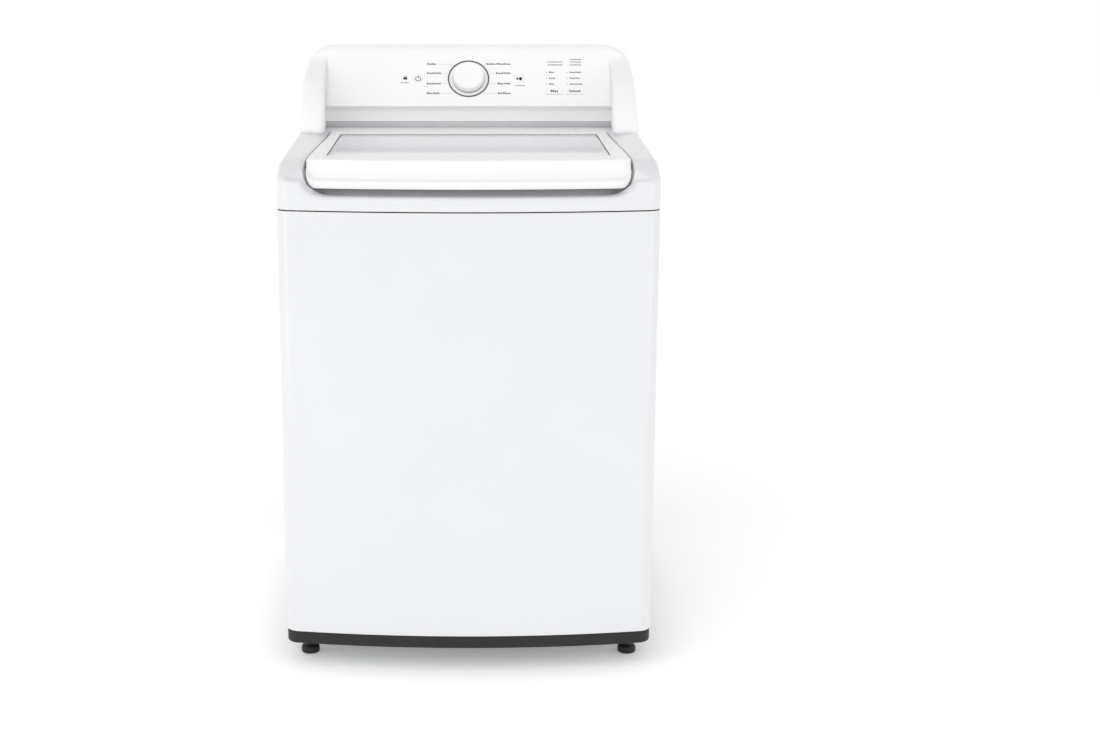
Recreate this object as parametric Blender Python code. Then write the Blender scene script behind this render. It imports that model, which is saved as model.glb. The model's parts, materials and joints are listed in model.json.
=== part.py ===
"""Top load washing machine: cabinet, console, lid, suspended tub, basket, agitator and drive.

Frame: metres, +Z up, front towards -Y, origin on the floor under the middle of the cabinet.
"""

import math

import bmesh
import bpy
from mathutils import Matrix, Vector

# Overall size
WIDTH = 0.686
DEPTH = 0.721
HEIGHT = 1.118
HALF_W = WIDTH / 2
BACK_Y = DEPTH / 2
FRONT_BOW = 0.0295  # how far the middle of the front stands ahead of its corners
CORNER_Y = -DEPTH / 2 + FRONT_BOW
GAP = 0.0003  # left between pieces that touch
SHEET = 0.001  # cabinet steel
SHELL = 0.0025  # moulded covers

# Heights of the main joints between pieces
STRIP_Z = 0.046
CABINET_Z = 0.070
COVER_Z = 0.867
DECK_Z = 0.948
CONSOLE_Z = 0.9585

# Cabinet
FRONT_CORNER_R = 0.022
PANEL_Y = 0.345  # inner face of the rear panel
FLANGE = 0.020

# Top cover and lid
LEDGE_Z = 0.891
FLOOR_Z = 0.914
LIP_Z = 0.8985
RECESS_HALF_W = 0.300
THROAT_HALF_W = 0.235
THROAT_Y = (-0.235, 0.175)
THROAT_R = 0.12
LID_HALF_W = 0.2945
LID_TOP_Z = 0.950
LID_FRONT_Y = -0.269
LID_BOW = 0.020
APRON_Y = -0.313
APRON_Z = 0.903
HINGE_Y = 0.213
HINGE_Z = 0.936
NOSE_R = 0.014
PANEL_HALF_W = 0.2605
PANEL_SPAN = (-0.2135, 0.1555)
LINER_Z = 0.932

# Console
FACE_LEAN = math.radians(34)
FACE_FOOT = (0.254, 0.995)  # y and z of the face's lower edge
FACE_LENGTH = 0.128
FACE_HALF_W = 0.2975
CHEEK_X = 0.2995
KNOB_R = 0.03325
RING_R = 0.0433

# Tub, basket and drive, all turning about the line x = 0, y = 0
TUB_R = 0.300
TUB_WALL = 0.003
TUB_FLOOR_Z = 0.215
TUB_TOP_Z = 0.800
BASKET_R = 0.270
BASKET_FLOOR_Z = 0.262
BASKET_TOP_Z = 0.745
BALANCE_IN_R = 0.232
EAR_Z = (0.300, 0.314)
ROD_X = 0.288
ROD_Y = 0.270
SHAFT_R = 0.010
TUBE_R = 0.0148

FOOT_X = 0.304
FOOT_Y = (-0.261, 0.285)

SEGMENTS = 32
FINE = 12


def clear_scene():
    for obj in list(bpy.data.objects):
        bpy.data.objects.remove(obj, do_unlink=True)


def material(name, rgb, roughness, metallic=0.0):
    found = bpy.data.materials.get(name)
    if found:
        return found
    made = bpy.data.materials.new(name)
    made.use_nodes = True
    shader = made.node_tree.nodes["Principled BSDF"]
    shader.inputs["Base Color"].default_value = (*rgb, 1.0)
    shader.inputs["Roughness"].default_value = roughness
    shader.inputs["Metallic"].default_value = metallic
    made.diffuse_color = (*rgb, 1.0)
    return made


def enamel():
    return material("white_enamel", (0.85, 0.86, 0.87), 0.28)


def white_abs():
    return material("white_abs", (0.86, 0.87, 0.88), 0.35)


def gloss_abs():
    return material("gloss_white_abs", (0.82, 0.83, 0.84), 0.12)


def black_plastic():
    return material("black_plastic", (0.02, 0.02, 0.022), 0.45)


def grey_plastic():
    return material("grey_polypropylene", (0.55, 0.57, 0.6), 0.5)


def steel():
    return material("zinc_steel", (0.6, 0.61, 0.62), 0.35, 1.0)


def stainless():
    return material("stainless_steel", (0.68, 0.68, 0.67), 0.22, 1.0)


def rubber():
    return material("rubber", (0.03, 0.03, 0.03), 0.8)


def copper():
    return material("copper_winding", (0.6, 0.28, 0.14), 0.4, 1.0)


def board_green():
    return material("circuit_board", (0.02, 0.12, 0.05), 0.5)


def ring_black():
    return material("ring_trim", (0.1, 0.1, 0.11), 0.3)


def place(name, bm, mat, location=(0, 0, 0), parent=None, smooth=True):
    """Make the bmesh an object at a location, with its faces pointing out."""
    bmesh.ops.remove_doubles(bm, verts=bm.verts, dist=1e-6)
    bmesh.ops.recalc_face_normals(bm, faces=bm.faces)
    mesh = bpy.data.meshes.new(name)
    bm.to_mesh(mesh)
    bm.free()
    mesh.materials.append(mat)
    if smooth:
        mesh.shade_smooth()
        mesh.set_sharp_from_angle(angle=math.radians(35))
    obj = bpy.data.objects.new(name, mesh)
    bpy.context.scene.collection.objects.link(obj)
    obj.location = location
    obj.parent = parent
    return obj


def loft(name, rings, mat, wrap=False, **where):
    """Skin rings of equal length. wrap joins the last ring to the first, else both ends are capped."""
    bm = bmesh.new()
    rows = [[bm.verts.new(p) for p in ring] for ring in rings]
    pairs = list(zip(rows, rows[1:]))
    if wrap:
        pairs.append((rows[-1], rows[0]))
    else:
        bm.faces.new(rows[0])
        bm.faces.new(reversed(rows[-1]))
    for low, high in pairs:
        count = len(low)
        for i in range(count):
            j = (i + 1) % count
            bm.faces.new((low[i], low[j], high[j], high[i]))
    return place(name, bm, mat, **where)


def prism(name, outline, z0, z1, mat, **where):
    """Extrude a plan outline straight up."""
    bm = bmesh.new()
    face = bm.faces.new([bm.verts.new((x, y, z0)) for x, y in outline])
    made = bmesh.ops.extrude_face_region(bm, geom=[face])
    top = [v for v in made["geom"] if isinstance(v, bmesh.types.BMVert)]
    bmesh.ops.translate(bm, verts=top, vec=(0, 0, z1 - z0))
    return place(name, bm, mat, **where)


def turn(name, profile, mat, segments=SEGMENTS, **where):
    """Spin a closed (radius, z) profile about the object's own Z."""
    bm = bmesh.new()
    verts = [bm.verts.new((r, 0, z)) for r, z in profile]
    edges = [bm.edges.new((a, b)) for a, b in zip(verts, verts[1:] + verts[:1])]
    bmesh.ops.spin(
        bm, geom=verts + edges, cent=(0, 0, 0), axis=(0, 0, 1), angle=2 * math.pi,
        steps=segments, use_merge=True, use_duplicate=False,
    )
    bmesh.ops.remove_doubles(bm, verts=bm.verts, dist=1e-6)
    bmesh.ops.dissolve_degenerate(bm, dist=1e-6, edges=bm.edges)
    return place(name, bm, mat, **where)


def band(r0, r1, z0, z1):
    """Profile of a plain ring, or of a disc when r0 is 0."""
    return [(r0, z0), (r1, z0), (r1, z1), (r0, z1)]


def block(name, low, high, mat, bevel=0.0, **where):
    bm = bmesh.new()
    size = Vector(high) - Vector(low)
    middle = (Vector(high) + Vector(low)) / 2
    fit = Matrix.Translation(middle) @ Matrix.Diagonal((*size, 1))
    bmesh.ops.create_cube(bm, size=1, matrix=fit)
    if bevel:
        bmesh.ops.bevel(bm, geom=bm.edges, offset=bevel, segments=2, affect="EDGES")
    return place(name, bm, mat, **where)


def rod_mesh(radius, start, end, sides=FINE):
    """A cylinder between two points, as a bmesh."""
    bm = bmesh.new()
    start, end = Vector(start), Vector(end)
    along = end - start
    turned = along.to_track_quat("Z", "Y").to_matrix().to_4x4()
    fit = Matrix.Translation((start + end) / 2) @ turned
    bmesh.ops.create_cone(
        bm, cap_ends=True, segments=sides, radius1=radius, radius2=radius,
        depth=along.length, matrix=fit,
    )
    return bm


def hide(cutter):
    cutter.hide_render = True
    cutter.display_type = "WIRE"
    return cutter


def cut(obj, cutter, operation="DIFFERENCE"):
    modifier = obj.modifiers.new(cutter.name, "BOOLEAN")
    modifier.operation = operation
    modifier.solver = "EXACT"
    modifier.object = cutter


def cut_rods(obj, radius, lines, sides=FINE):
    """Drill one hole per (start, end) line."""
    for i, (start, end) in enumerate(lines):
        bm = rod_mesh(radius, start, end, sides)
        cut(obj, hide(place(f"{obj.name}_drill_{i}", bm, steel(), parent=obj.parent)))


def cut_block(obj, low, high, tag="slot"):
    cut(obj, hide(block(f"{obj.name}_{tag}", low, high, steel(), parent=obj.parent)))


def arc(cx, cy, r, start, end, steps):
    """Points of a circular arc, both ends included, angles in degrees."""
    angles = (math.radians(start + (end - start) * i / steps) for i in range(steps + 1))
    return [(cx + r * math.cos(a), cy + r * math.sin(a)) for a in angles]


def rounded(half_w, front, back, radius, bow=0.0, back_radius=None, steps=4, across=12):
    """Closed plan outline, anticlockwise from the front left, with a bowed front edge."""
    rb = radius if back_radius is None else back_radius
    points = []
    for i in range(1, across):
        share = math.sin(math.pi * (i / across - 0.5))  # closer together near the corners
        points.append(((half_w - radius) * share, front))
    points += arc(half_w - radius, front + radius, radius, -90, 0, steps)
    points += [(half_w, front + radius + (back - rb - front - radius) * i / 6) for i in range(1, 6)]
    points += arc(half_w - rb, back - rb, rb, 0, 90, steps)
    points += [(x * (half_w - rb), back) for x in (0.5, 0, -0.5)]
    points += arc(-half_w + rb, back - rb, rb, 90, 180, steps)
    points += [(-half_w, back - rb + (front + radius - back + rb) * i / 6) for i in range(1, 6)]
    points += arc(-half_w + radius, front + radius, radius, 180, 270, steps)
    middle = (front + back) / 2
    bowed = []
    for x, y in points:
        share = max(0.0, (middle - y) / (middle - front))
        bowed.append((x, y - bow * (1 - (x / half_w) ** 2) * share ** 4))
    return bowed


def body_outline(inset=0.0, back=None, back_radius=0.008):
    """The cabinet's outline in plan, moved inwards."""
    rear = PANEL_Y if back is None else back
    radius = FRONT_CORNER_R - inset * 0.8
    return rounded(HALF_W - inset, CORNER_Y + inset, rear - inset, radius, FRONT_BOW, back_radius)


def ring_at(outline, z):
    """Lift a plan outline to a height, which may depend on the place."""
    return [(x, y, z(x, y) if callable(z) else z) for x, y in outline]


# ---------------------------------------------------------------- cabinet


def wrap_side(inset):
    """Open path along right side, front and left side, from rear to rear."""
    outline = body_outline(inset, back=PANEL_Y + inset, back_radius=0.001)
    rear = PANEL_Y - 0.0005
    path = [(x, y) for x, y in outline if y < rear - 0.002]
    right = [p for p in path if p[0] > 0 and p[1] > -0.2]
    left = [p for p in path if p[0] < 0 and p[1] > -0.2]
    front = [p for p in path if p[1] <= -0.2]
    front.sort(key=lambda p: math.atan2(p[0], -p[1]))
    right.sort(key=lambda p: p[1])
    left.sort(key=lambda p: -p[1])
    edge = HALF_W - inset
    return [(-edge, rear)] + left + front + right + [(edge, rear)]


def cabinet_wrap():
    """One bent steel sheet: both sides, the bowed front and two rear flanges."""
    outer = wrap_side(0)
    inner = wrap_side(SHEET)
    rear = outer[0][1]
    lip = HALF_W - FLANGE
    inner_rear = rear - SHEET
    inner = [(inner[0][0], inner_rear)] + inner[1:-1] + [(inner[-1][0], inner_rear)]
    outline = outer + [(lip, rear), (lip, inner_rear)] + inner[::-1]
    outline += [(-lip, inner_rear), (-lip, rear)]
    prism("cabinet_wrap", outline, CABINET_Z + GAP, COVER_Z - GAP, enamel())


def rear_panel():
    panel = block(
        "rear_panel", (-HALF_W + 0.001, PANEL_Y, CABINET_Z + GAP),
        (HALF_W - 0.001, PANEL_Y + SHEET, COVER_Z - GAP), steel(),
    )
    through = [
        ((x, PANEL_Y - 0.01, z), (x, PANEL_Y + 0.01, z)) for x, z, _ in rear_fittings()
    ]
    for i, (start, end) in enumerate(through):
        radius = rear_fittings()[i][2]
        bm = rod_mesh(radius, start, end)
        cut(panel, hide(place(f"rear_panel_drill_{i}", bm, steel())))


def rear_fittings():
    """x, z and hole radius of what passes through the rear panel."""
    return [(-0.20, 0.815, 0.0145), (-0.12, 0.815, 0.0145), (0.235, 0.790, 0.0175), (0.20, 0.30, 0.0095)]


def base_frame():
    """Pressed steel frame: an upright wall with a wide flange that takes the feet."""
    wall = 0.0015
    low, high = 0.0475, CABINET_Z - GAP
    inset, width = 0.0045, 0.062
    rear = PANEL_Y - 0.002
    rings = [
        ring_at(body_outline(inset, rear), low),
        ring_at(body_outline(inset, rear), high),
        ring_at(body_outline(inset + wall, rear), high),
        ring_at(body_outline(inset + wall, rear), low + wall),
        ring_at(frame_window(inset + width, rear), low + wall),
        ring_at(frame_window(inset + width, rear), low),
    ]
    frame = loft("base_frame", rings, steel(), wrap=True)
    lines = [((x, y, low - 0.01), (x, y, low + 0.01)) for x, y in foot_places().values()]
    cut_rods(frame, 0.0062, lines, 12)


def frame_window(inset, rear):
    return rounded(HALF_W - inset, CORNER_Y + inset, rear - inset, 0.02, FRONT_BOW, 0.02)


def kick_strip():
    """Black skirt along the front and both sides, under the cabinet."""
    outer = wrap_side(0.0015)
    inner = wrap_side(0.0040)
    outline = outer + inner[::-1]
    prism("kick_strip", outline, STRIP_Z, CABINET_Z - GAP, black_plastic())


def foot_places():
    front, rear = FOOT_Y
    return {
        "front_left": (-FOOT_X, front), "front_right": (FOOT_X, front),
        "rear_left": (-FOOT_X, rear), "rear_right": (FOOT_X, rear),
    }


def levelling_feet():
    profile = [
        (0, 0), (0.0165, 0), (0.0175, 0.002), (0.0175, 0.011), (0.0155, 0.014), (0.0095, 0.015),
        (0.0085, 0.040), (0.005, 0.0405), (0.005, 0.078), (0, 0.078),
    ]
    for corner, (x, y) in foot_places().items():
        turn(f"foot_{corner}", profile, rubber(), FINE, location=(x, y, 0))


# ---------------------------------------------------------------- top cover


def clamp01(t):
    return min(1.0, max(0.0, t))


def smooth(t):
    t = clamp01(t)
    return t * t * (3 - 2 * t)


def shoulder_z(x, y, drop_x=0.272):
    """Height of the cover's rim: level along the sides, dropping inside drop_x at the front."""
    depth = y - CORNER_Y
    side = DECK_Z + 0.010 * clamp01((depth - 0.1) / 0.33) - 0.030 * (1 - clamp01(depth / 0.09)) ** 2
    front_share = clamp01((-0.240 - y) / 0.05)
    ledge = LEDGE_Z + (side - LEDGE_Z) * smooth((abs(x) - drop_x) / 0.034)
    return side + (ledge - side) * front_share


def top_cover():
    """Moulded cover: rim, lid recess, front ledge and the throat over the basket."""
    rear = BACK_Y - 0.0015

    def over(outline, base, drop, drop_x=0.272):
        """Put an outline at the rim's height over a base outline. The underside turns up further out."""
        return [(x, y, shoulder_z(*under, drop_x) - drop) for (x, y), under in zip(outline, base)]

    def rim(inset, drop, **turn_up):
        return over(body_outline(inset, rear), body_outline(0.006, rear), drop, **turn_up)

    def recess(grow, drop, forward=0.0, **turn_up):
        def outline(extra, front=0.0):
            return rounded(RECESS_HALF_W + extra, -0.300 - front, 0.232 + extra, 0.016, 0.018)

        return over(outline(grow, forward), outline(0.0), drop, **turn_up)

    def floor(grow, drop, width=0.299, front=-0.284, back=0.231):
        outline = rounded(width + grow, front + grow, back + grow, 0.016, 0.018)
        return ring_at(outline, FLOOR_Z - drop)

    def throat(grow, z):
        return ring_at(
            rounded(THROAT_HALF_W + grow, THROAT_Y[0] - grow, THROAT_Y[1] + grow, THROAT_R), z
        )

    outside = [
        ring_at(body_outline(0, rear), COVER_Z),
        rim(0.0, 0.016), rim(0.0008, 0.008), rim(0.0035, 0.0025), rim(0.009, 0.0),
        recess(0.003, 0.0, 0.004), recess(0.0, 0.001), floor(0.0, 0.0),
        throat(0.006, FLOOR_Z), throat(0.001, FLOOR_Z - 0.004), throat(0.0, LIP_Z),
    ]
    under = {"drop_x": 0.298}
    inside = [
        throat(SHELL, LIP_Z), throat(0.006, FLOOR_Z - SHELL - 0.002), floor(SHELL, SHELL + 0.001),
        recess(SHELL + 0.001, 2 * SHELL, -0.001, **under), rim(0.010, 2 * SHELL, **under),
        rim(0.004, 0.011, **under), rim(SHELL, 0.017, **under), ring_at(body_outline(SHELL, rear), COVER_Z),
    ]
    cover = loft("top_cover", outside + inside, enamel(), wrap=True)
    cut_block(cover, (0.196, -0.268, 0.90), (0.214, -0.247, 0.925), "strike_slot")
    return cover


# ---------------------------------------------------------------- lid


def lid_profile(x, y, side, front, rear, rise=0.0):
    """Blend a height between the lid's side, front and rear values, rounding up the front corners."""
    to_front = clamp01((-0.286 - y) / 0.016)
    to_rear = clamp01((y - 0.190) / 0.012)
    corner = clamp01((abs(x) - 0.260) / 0.034)
    front += rise * (1 - math.sqrt(1 - corner ** 2))
    return side + (front - side) * to_front + (rear - side) * to_rear


def lid_frame():
    """Outer lid moulding with the forward-leaning apron, hinge nose and the panel's seat."""

    def ring(half_w, front, back, heights, radius=0.022, back_radius=0.010, bow=LID_BOW):
        outline = rounded(half_w, front, back, radius, bow, back_radius)
        return ring_at(outline, lambda x, y: lid_profile(x, y, *heights))

    def seat(grow, z):
        return ring_at(
            rounded(PANEL_HALF_W + grow, PANEL_SPAN[0] - grow, PANEL_SPAN[1] + grow, 0.006), z
        )

    top = LID_TOP_Z
    rings = [
        ring(0.2900, APRON_Y, HINGE_Y + 0.002, (0.9185, APRON_Z, HINGE_Z - NOSE_R, 0.032), 0.03),
        ring(0.2935, APRON_Y + 0.004, HINGE_Y + 0.011, (0.925, 0.9155, HINGE_Z - 0.0087, 0.026), 0.03),
        ring(0.2945, APRON_Y + 0.012, HINGE_Y + NOSE_R, (0.938, 0.9215, HINGE_Z, 0.024)),
        ring(0.2935, LID_FRONT_Y - 0.011, HINGE_Y + 0.0105, (0.9465, 0.9435, HINGE_Z + 0.0092)),
        ring(0.2895, LID_FRONT_Y, HINGE_Y + 0.002, (top, top, top)),
        seat(0.0, top), seat(0.0, top - 0.0045), seat(-0.010, top - 0.0045), seat(-0.010, top - 0.007),
        ring(0.2860, LID_FRONT_Y + 0.004, 0.2015, (top - 0.007,) * 3, 0.02, 0.008),
        ring(0.2880, APRON_Y + 0.011, 0.2015, (0.926, 0.917, 0.926, 0.026), 0.028, 0.008),
        ring(0.2875, APRON_Y + 0.003, 0.2015, (0.9185, APRON_Z, HINGE_Z - NOSE_R, 0.032), 0.03, 0.008),
    ]
    frame = loft("lid_frame", rings, white_abs(), wrap=True)
    lines = [
        ((side * 0.2825, HINGE_Y, HINGE_Z), (side * 0.30, HINGE_Y, HINGE_Z)) for side in (-1, 1)
    ]
    cut_rods(frame, 0.0046, lines)


def lid_panel():
    inset = 0.0006
    outline = rounded(
        PANEL_HALF_W - inset, PANEL_SPAN[0] + inset, PANEL_SPAN[1] - inset, 0.006 - inset
    )
    prism("lid_panel", outline, LID_TOP_Z - 0.0045 + GAP, LID_TOP_Z - 0.0004, gloss_abs())


def lid_liner():
    """Inner lid skin, a shallow tray that closes the lid from below."""

    def at(inset, z):
        outline = rounded(0.2835 - inset, -0.2595 + inset, 0.1995 - inset, 0.018, 0.016, 0.008)
        return ring_at(outline, z)

    rings = [
        at(0.030, LINER_Z - 0.006), at(0.020, LINER_Z), at(0.0, LINER_Z), at(0.0, LINER_Z + 0.0025),
        at(0.018, LINER_Z + 0.0025), at(0.029, LINER_Z - 0.0035),
    ]
    loft("lid_liner", rings, white_abs())


def lid_fittings():
    """Rubber bumpers, strike plate and the two hinge pins."""
    for name, x in (("left", -0.268), ("right", 0.268)):
        turn(f"lid_bumper_{name}", band(0, 0.006, FLOOR_Z + GAP, LINER_Z - GAP), rubber(), 16,
             location=(x, -0.235, 0))
    strike = block("lid_strike", (0.2035, -0.2635, 0.882), (0.2065, -0.2515, LINER_Z - 0.0003), steel())
    cut_block(strike, (0.200, -0.2610, 0.886), (0.210, -0.2540, 0.8945), "window")
    for name, side in (("left", -1), ("right", 1)):
        bm = rod_mesh(0.004, (side * 0.2835, HINGE_Y, HINGE_Z), (side * 0.2982, HINGE_Y, HINGE_Z))
        place(f"hinge_pin_{name}", bm, steel())


def lid_lock():
    """Solenoid lock under the cover's floor, with its sliding bolt."""
    top = FLOOR_Z - 0.0055
    lock = block("lid_lock", (0.190, -0.2685, 0.872), (0.232, -0.2465, top), black_plastic())
    cut_block(lock, (0.1975, -0.2665, 0.879), (0.2125, -0.2485, 0.93), "strike_well")
    cut_block(lock, (0.205, -0.2600, 0.8872), (0.250, -0.2550, 0.8932), "bolt_way")
    block("lid_lock_bolt", (0.2090, -0.2595, 0.8880), (0.240, -0.2555, 0.8925), steel())


# ---------------------------------------------------------------- console


def face_y(z):
    """Front of the console between the cheeks at a height."""
    foot_y, foot_z = FACE_FOOT
    top_z = foot_z + FACE_LENGTH * math.cos(FACE_LEAN)
    if z <= 0.982:
        return foot_y + 0.012
    if z <= foot_z:
        return foot_y + 0.012 * (foot_z - z) / (foot_z - 0.982)
    slope = foot_y + (z - foot_z) * math.tan(FACE_LEAN)
    if z <= top_z:
        return slope
    share = clamp01((z - top_z) / (HEIGHT - top_z))
    return slope + 0.0135 * (1 - math.sqrt(1 - share ** 2))


def cheek_y(z):
    """Front of the side cheeks, swept back from a low toe until it meets the face."""
    share = clamp01((z - CONSOLE_Z) / (HEIGHT - CONSOLE_Z))
    sweep = 0.100 + 0.235 * share ** 1.5
    return sweep + (face_y(z) - sweep) * smooth((z - 1.050) / 0.048)


def console_half_width(z):
    taper = 0.006 * clamp01((z - CONSOLE_Z) / 0.10)
    share = clamp01((z - 1.078) / 0.040)
    return HALF_W - taper - 0.045 * (1 - math.sqrt(1 - share ** 2))


def console_slice(z, inset=0.0, drop=0.0):
    """Plan section of the console at a height, moved inwards and down."""
    half = console_half_width(z) - inset
    face = face_y(z) + inset
    cheek = cheek_y(z) + inset
    inner = min(CHEEK_X, console_half_width(z) - 0.030) + inset
    rear = BACK_Y - 0.0015 - inset
    step = face - cheek
    round_off = min(0.009, 0.6 * step)
    span = rear - cheek
    corner = min(0.019, 0.35 * span)
    right = [
        (0.15, face), (inner - 0.025, face), (inner - 0.002, face), (inner, face - 0.05 * step),
        (inner + 0.0005, cheek + round_off), (inner + 0.003, cheek + 0.3 * round_off),
        (inner + 0.009, cheek),
        (half - 0.014, cheek + 0.0005), (half - 0.004, cheek + 0.3 * corner),
        (half, cheek + corner), (half, cheek + 0.6 * span), (half, rear - corner / 3),
        (half - corner / 3, rear), (0.15, rear),
    ]
    left = [(-x, y) for x, y in reversed(right)]
    loop = [(0, face)] + right + [(0, rear)] + left
    return [(x, y, z - drop) for x, y in loop]


def console_housing():
    levels = [HEIGHT, 1.1155, 1.110, 1.1011, 1.090, 1.078, 1.064, 1.050, 1.020, 0.995, 0.982, CONSOLE_Z]
    outside = [console_slice(z) for z in levels]
    inside = [console_slice(z, SHELL, SHELL if z > 1.1 else 0.0) for z in reversed(levels)]
    housing = loft("console_housing", outside + inside, white_abs())
    frame = panel_frame()
    window = block(
        "console_housing_window", (-0.266, -0.052, -0.02), (0.266, 0.050, 0.02), steel(), parent=frame
    )
    cut(housing, hide(window))


def panel_frame():
    """Empty on the middle of the control face: local Z points out, local Y up the face."""
    found = bpy.data.objects.get("panel_frame")
    if found:
        return found
    frame = bpy.data.objects.new("panel_frame", None)
    bpy.context.scene.collection.objects.link(frame)
    foot_y, foot_z = FACE_FOOT
    up = 0.066
    frame.location = (0, foot_y + up * math.sin(FACE_LEAN), foot_z + up * math.cos(FACE_LEAN))
    frame.rotation_euler = (math.pi / 2 - FACE_LEAN, 0, 0)
    return frame


BUTTONS = {"power_button": (-0.106, 0.0, 0.0095), "start_button": (0.106, 0.0, 0.011)}
KEYS = {"temp_button": (0.1795, -0.031), "options_button": (0.2225, -0.031)}
KEY_HALF = (0.0165, 0.0045)
PLATE = 0.0016
PLATE_UP = 0.0003


def console_face():
    """Flat control plate with openings for the knob's shaft and the buttons."""
    outline = rounded(FACE_HALF_W - 0.0008, -0.0645, 0.0605, 0.004, 0, 0.022, across=4)
    plate = prism("console_face", outline, PLATE_UP, PLATE_UP + PLATE, white_abs(), parent=panel_frame())
    drills = {"shaft": (0, 0, 0.0058)}
    drills.update({name: (u, v, r + 0.0004) for name, (u, v, r) in BUTTONS.items()})
    for name, (u, v, r) in drills.items():
        bm = rod_mesh(r, (u, v, -0.01), (u, v, 0.01), 24)
        cut(plate, hide(place(f"console_face_{name}", bm, steel(), parent=panel_frame())))
    for name, (u, v) in KEYS.items():
        half_u, half_v = KEY_HALF[0] + 0.0004, KEY_HALF[1] + 0.0004
        cut_block(plate, (u - half_u, v - half_v, -0.01), (u + half_u, v + half_v, 0.01), name)


def controls():
    frame = panel_frame()
    top = PLATE_UP + PLATE
    base = top + GAP
    knob = [
        (0, -0.0130), (0.0045, -0.0130), (0.0045, base), (KNOB_R - 0.0005, base), (KNOB_R, base + 0.001),
        (KNOB_R - 0.0015, 0.0165), (KNOB_R - 0.004, 0.0185), (0, 0.0188),
    ]
    turn("knob", knob, white_abs(), 24, parent=frame)
    ring = band(RING_R - 0.0025, RING_R, base, base + 0.0010)
    turn("knob_ring", ring, ring_black(), 32, parent=frame)
    for name, (u, v, r) in BUTTONS.items():
        profile = [
            (0, -0.0065), (r + 0.0015, -0.0065), (r + 0.0015, -0.0045), (r, -0.0045),
            (r, top + 0.0004), (r - 0.0006, top + 0.0009), (0, top + 0.0009),
        ]
        turn(name, profile, white_abs(), 24, location=(u, v, 0), parent=frame)
    for name, (u, v) in KEYS.items():
        low = (-KEY_HALF[0], -KEY_HALF[1], -0.0065)
        high = (KEY_HALF[0], KEY_HALF[1], top + 0.0006)
        block(name, low, high, white_abs(), location=(u, v, 0), parent=frame)
    block("control_board", (-0.262, -0.046, -0.0165), (0.262, 0.044, -0.0147), board_green(), parent=frame)


# ---------------------------------------------------------------- water


def inlet_valve():
    """Twin valve: one manifold inside the rear panel with a hot and a cold inlet through it."""
    profile = [
        (0, 0), (0.017, 0), (0.017, 0.028), (0.0125, 0.030), (0.0125, 0.0575), (0.009, 0.0575),
        (0.009, 0.040), (0, 0.040),
    ]
    depth = PANEL_Y - 0.0425
    ports = []
    for name, (x, z, _) in zip(("hot", "cold"), rear_fittings()):
        port = turn(f"inlet_{name}", profile, grey_plastic(), FINE, location=(x, depth, z))
        port.rotation_euler = (-math.pi / 2, 0, 0)
        ports.append(hide(port))
    hot, cold = ports
    middle_z = hot.location.z
    manifold = block(
        "inlet_valve", (hot.location.x + 0.004, depth + 0.004, middle_z - 0.012),
        (cold.location.x - 0.004, depth + 0.022, middle_z + 0.012), grey_plastic(),
    )
    for port in ports:
        cut(manifold, port, "UNION")


def drain_parts():
    """Pump on the base frame and the hose that rises from it and leaves through the rear panel."""
    px, py = 0.185, 0.165
    pump = turn(
        "drain_pump",
        [(0, 0.051), (0.038, 0.051), (0.038, 0.095), (0.030, 0.100), (0.030, 0.128), (0.014, 0.130),
         (0.014, 0.150), (0, 0.150)],
        black_plastic(), 24, location=(px, py, 0),
    )
    outlet = rod_mesh(0.012, (px, py, 0.075), (px + 0.040, py + 0.070, 0.075), 16)
    cut(pump, hide(place("drain_pump_outlet", outlet, steel())), "UNION")
    foot = block(
        "drain_pump_foot", (px - 0.02, py - 0.01, 0.0493), (px + 0.02, py + 0.125, 0.0553), steel()
    )
    cut(pump, hide(foot), "UNION")
    curve = bpy.data.curves.new("drain_hose", "CURVE")
    curve.dimensions = "3D"
    curve.bevel_depth = 0.013
    curve.bevel_resolution = 2
    curve.use_fill_caps = True
    route = [
        (px + 0.0420, py + 0.0735, 0.075), (px + 0.050, py + 0.092, 0.078), (0.2395, 0.285, 0.100),
        (0.2400, 0.312, 0.150), (0.235, 0.318, 0.250), (0.235, 0.318, 0.500), (0.235, 0.318, 0.7550),
        (0.235, 0.331, 0.7835), (0.235, 0.350, 0.7900), (0.235, 0.3585, 0.7900),
    ]
    spline = curve.splines.new("POLY")
    points = smooth_route(route, 2)
    spline.points.add(len(points) - 1)
    for point, place_at in zip(spline.points, points):
        point.co = (*place_at, 1)
    curve.materials.append(grey_plastic())
    hose = bpy.data.objects.new("drain_hose", curve)
    bpy.context.scene.collection.objects.link(hose)


def smooth_route(route, steps):
    """Catmull-Rom points through a route."""
    pts = [Vector(p) for p in route]
    ends = [2 * pts[0] - pts[1]] + pts + [2 * pts[-1] - pts[-2]]
    out = []
    for a, b, c, d in zip(ends, ends[1:], ends[2:], ends[3:]):
        for i in range(steps):
            t = i / steps
            out.append(
                0.5 * (2 * b + (c - a) * t + (2 * a - 5 * b + 4 * c - d) * t ** 2
                       + (3 * b - a - 3 * c + d) * t ** 3)
            )
    return out + [pts[-1]]


def power_inlet():
    x, z, r = rear_fittings()[3]
    gland = turn(
        "power_gland",
        [(0.004, 0), (r - 0.0005, 0), (r - 0.0005, 0.0075), (0.013, 0.0075), (0.011, 0.0130),
         (0.004, 0.0130)],
        black_plastic(), FINE, location=(x, PANEL_Y - 0.006, z),
    )
    gland.rotation_euler = (-math.pi / 2, 0, 0)


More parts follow.
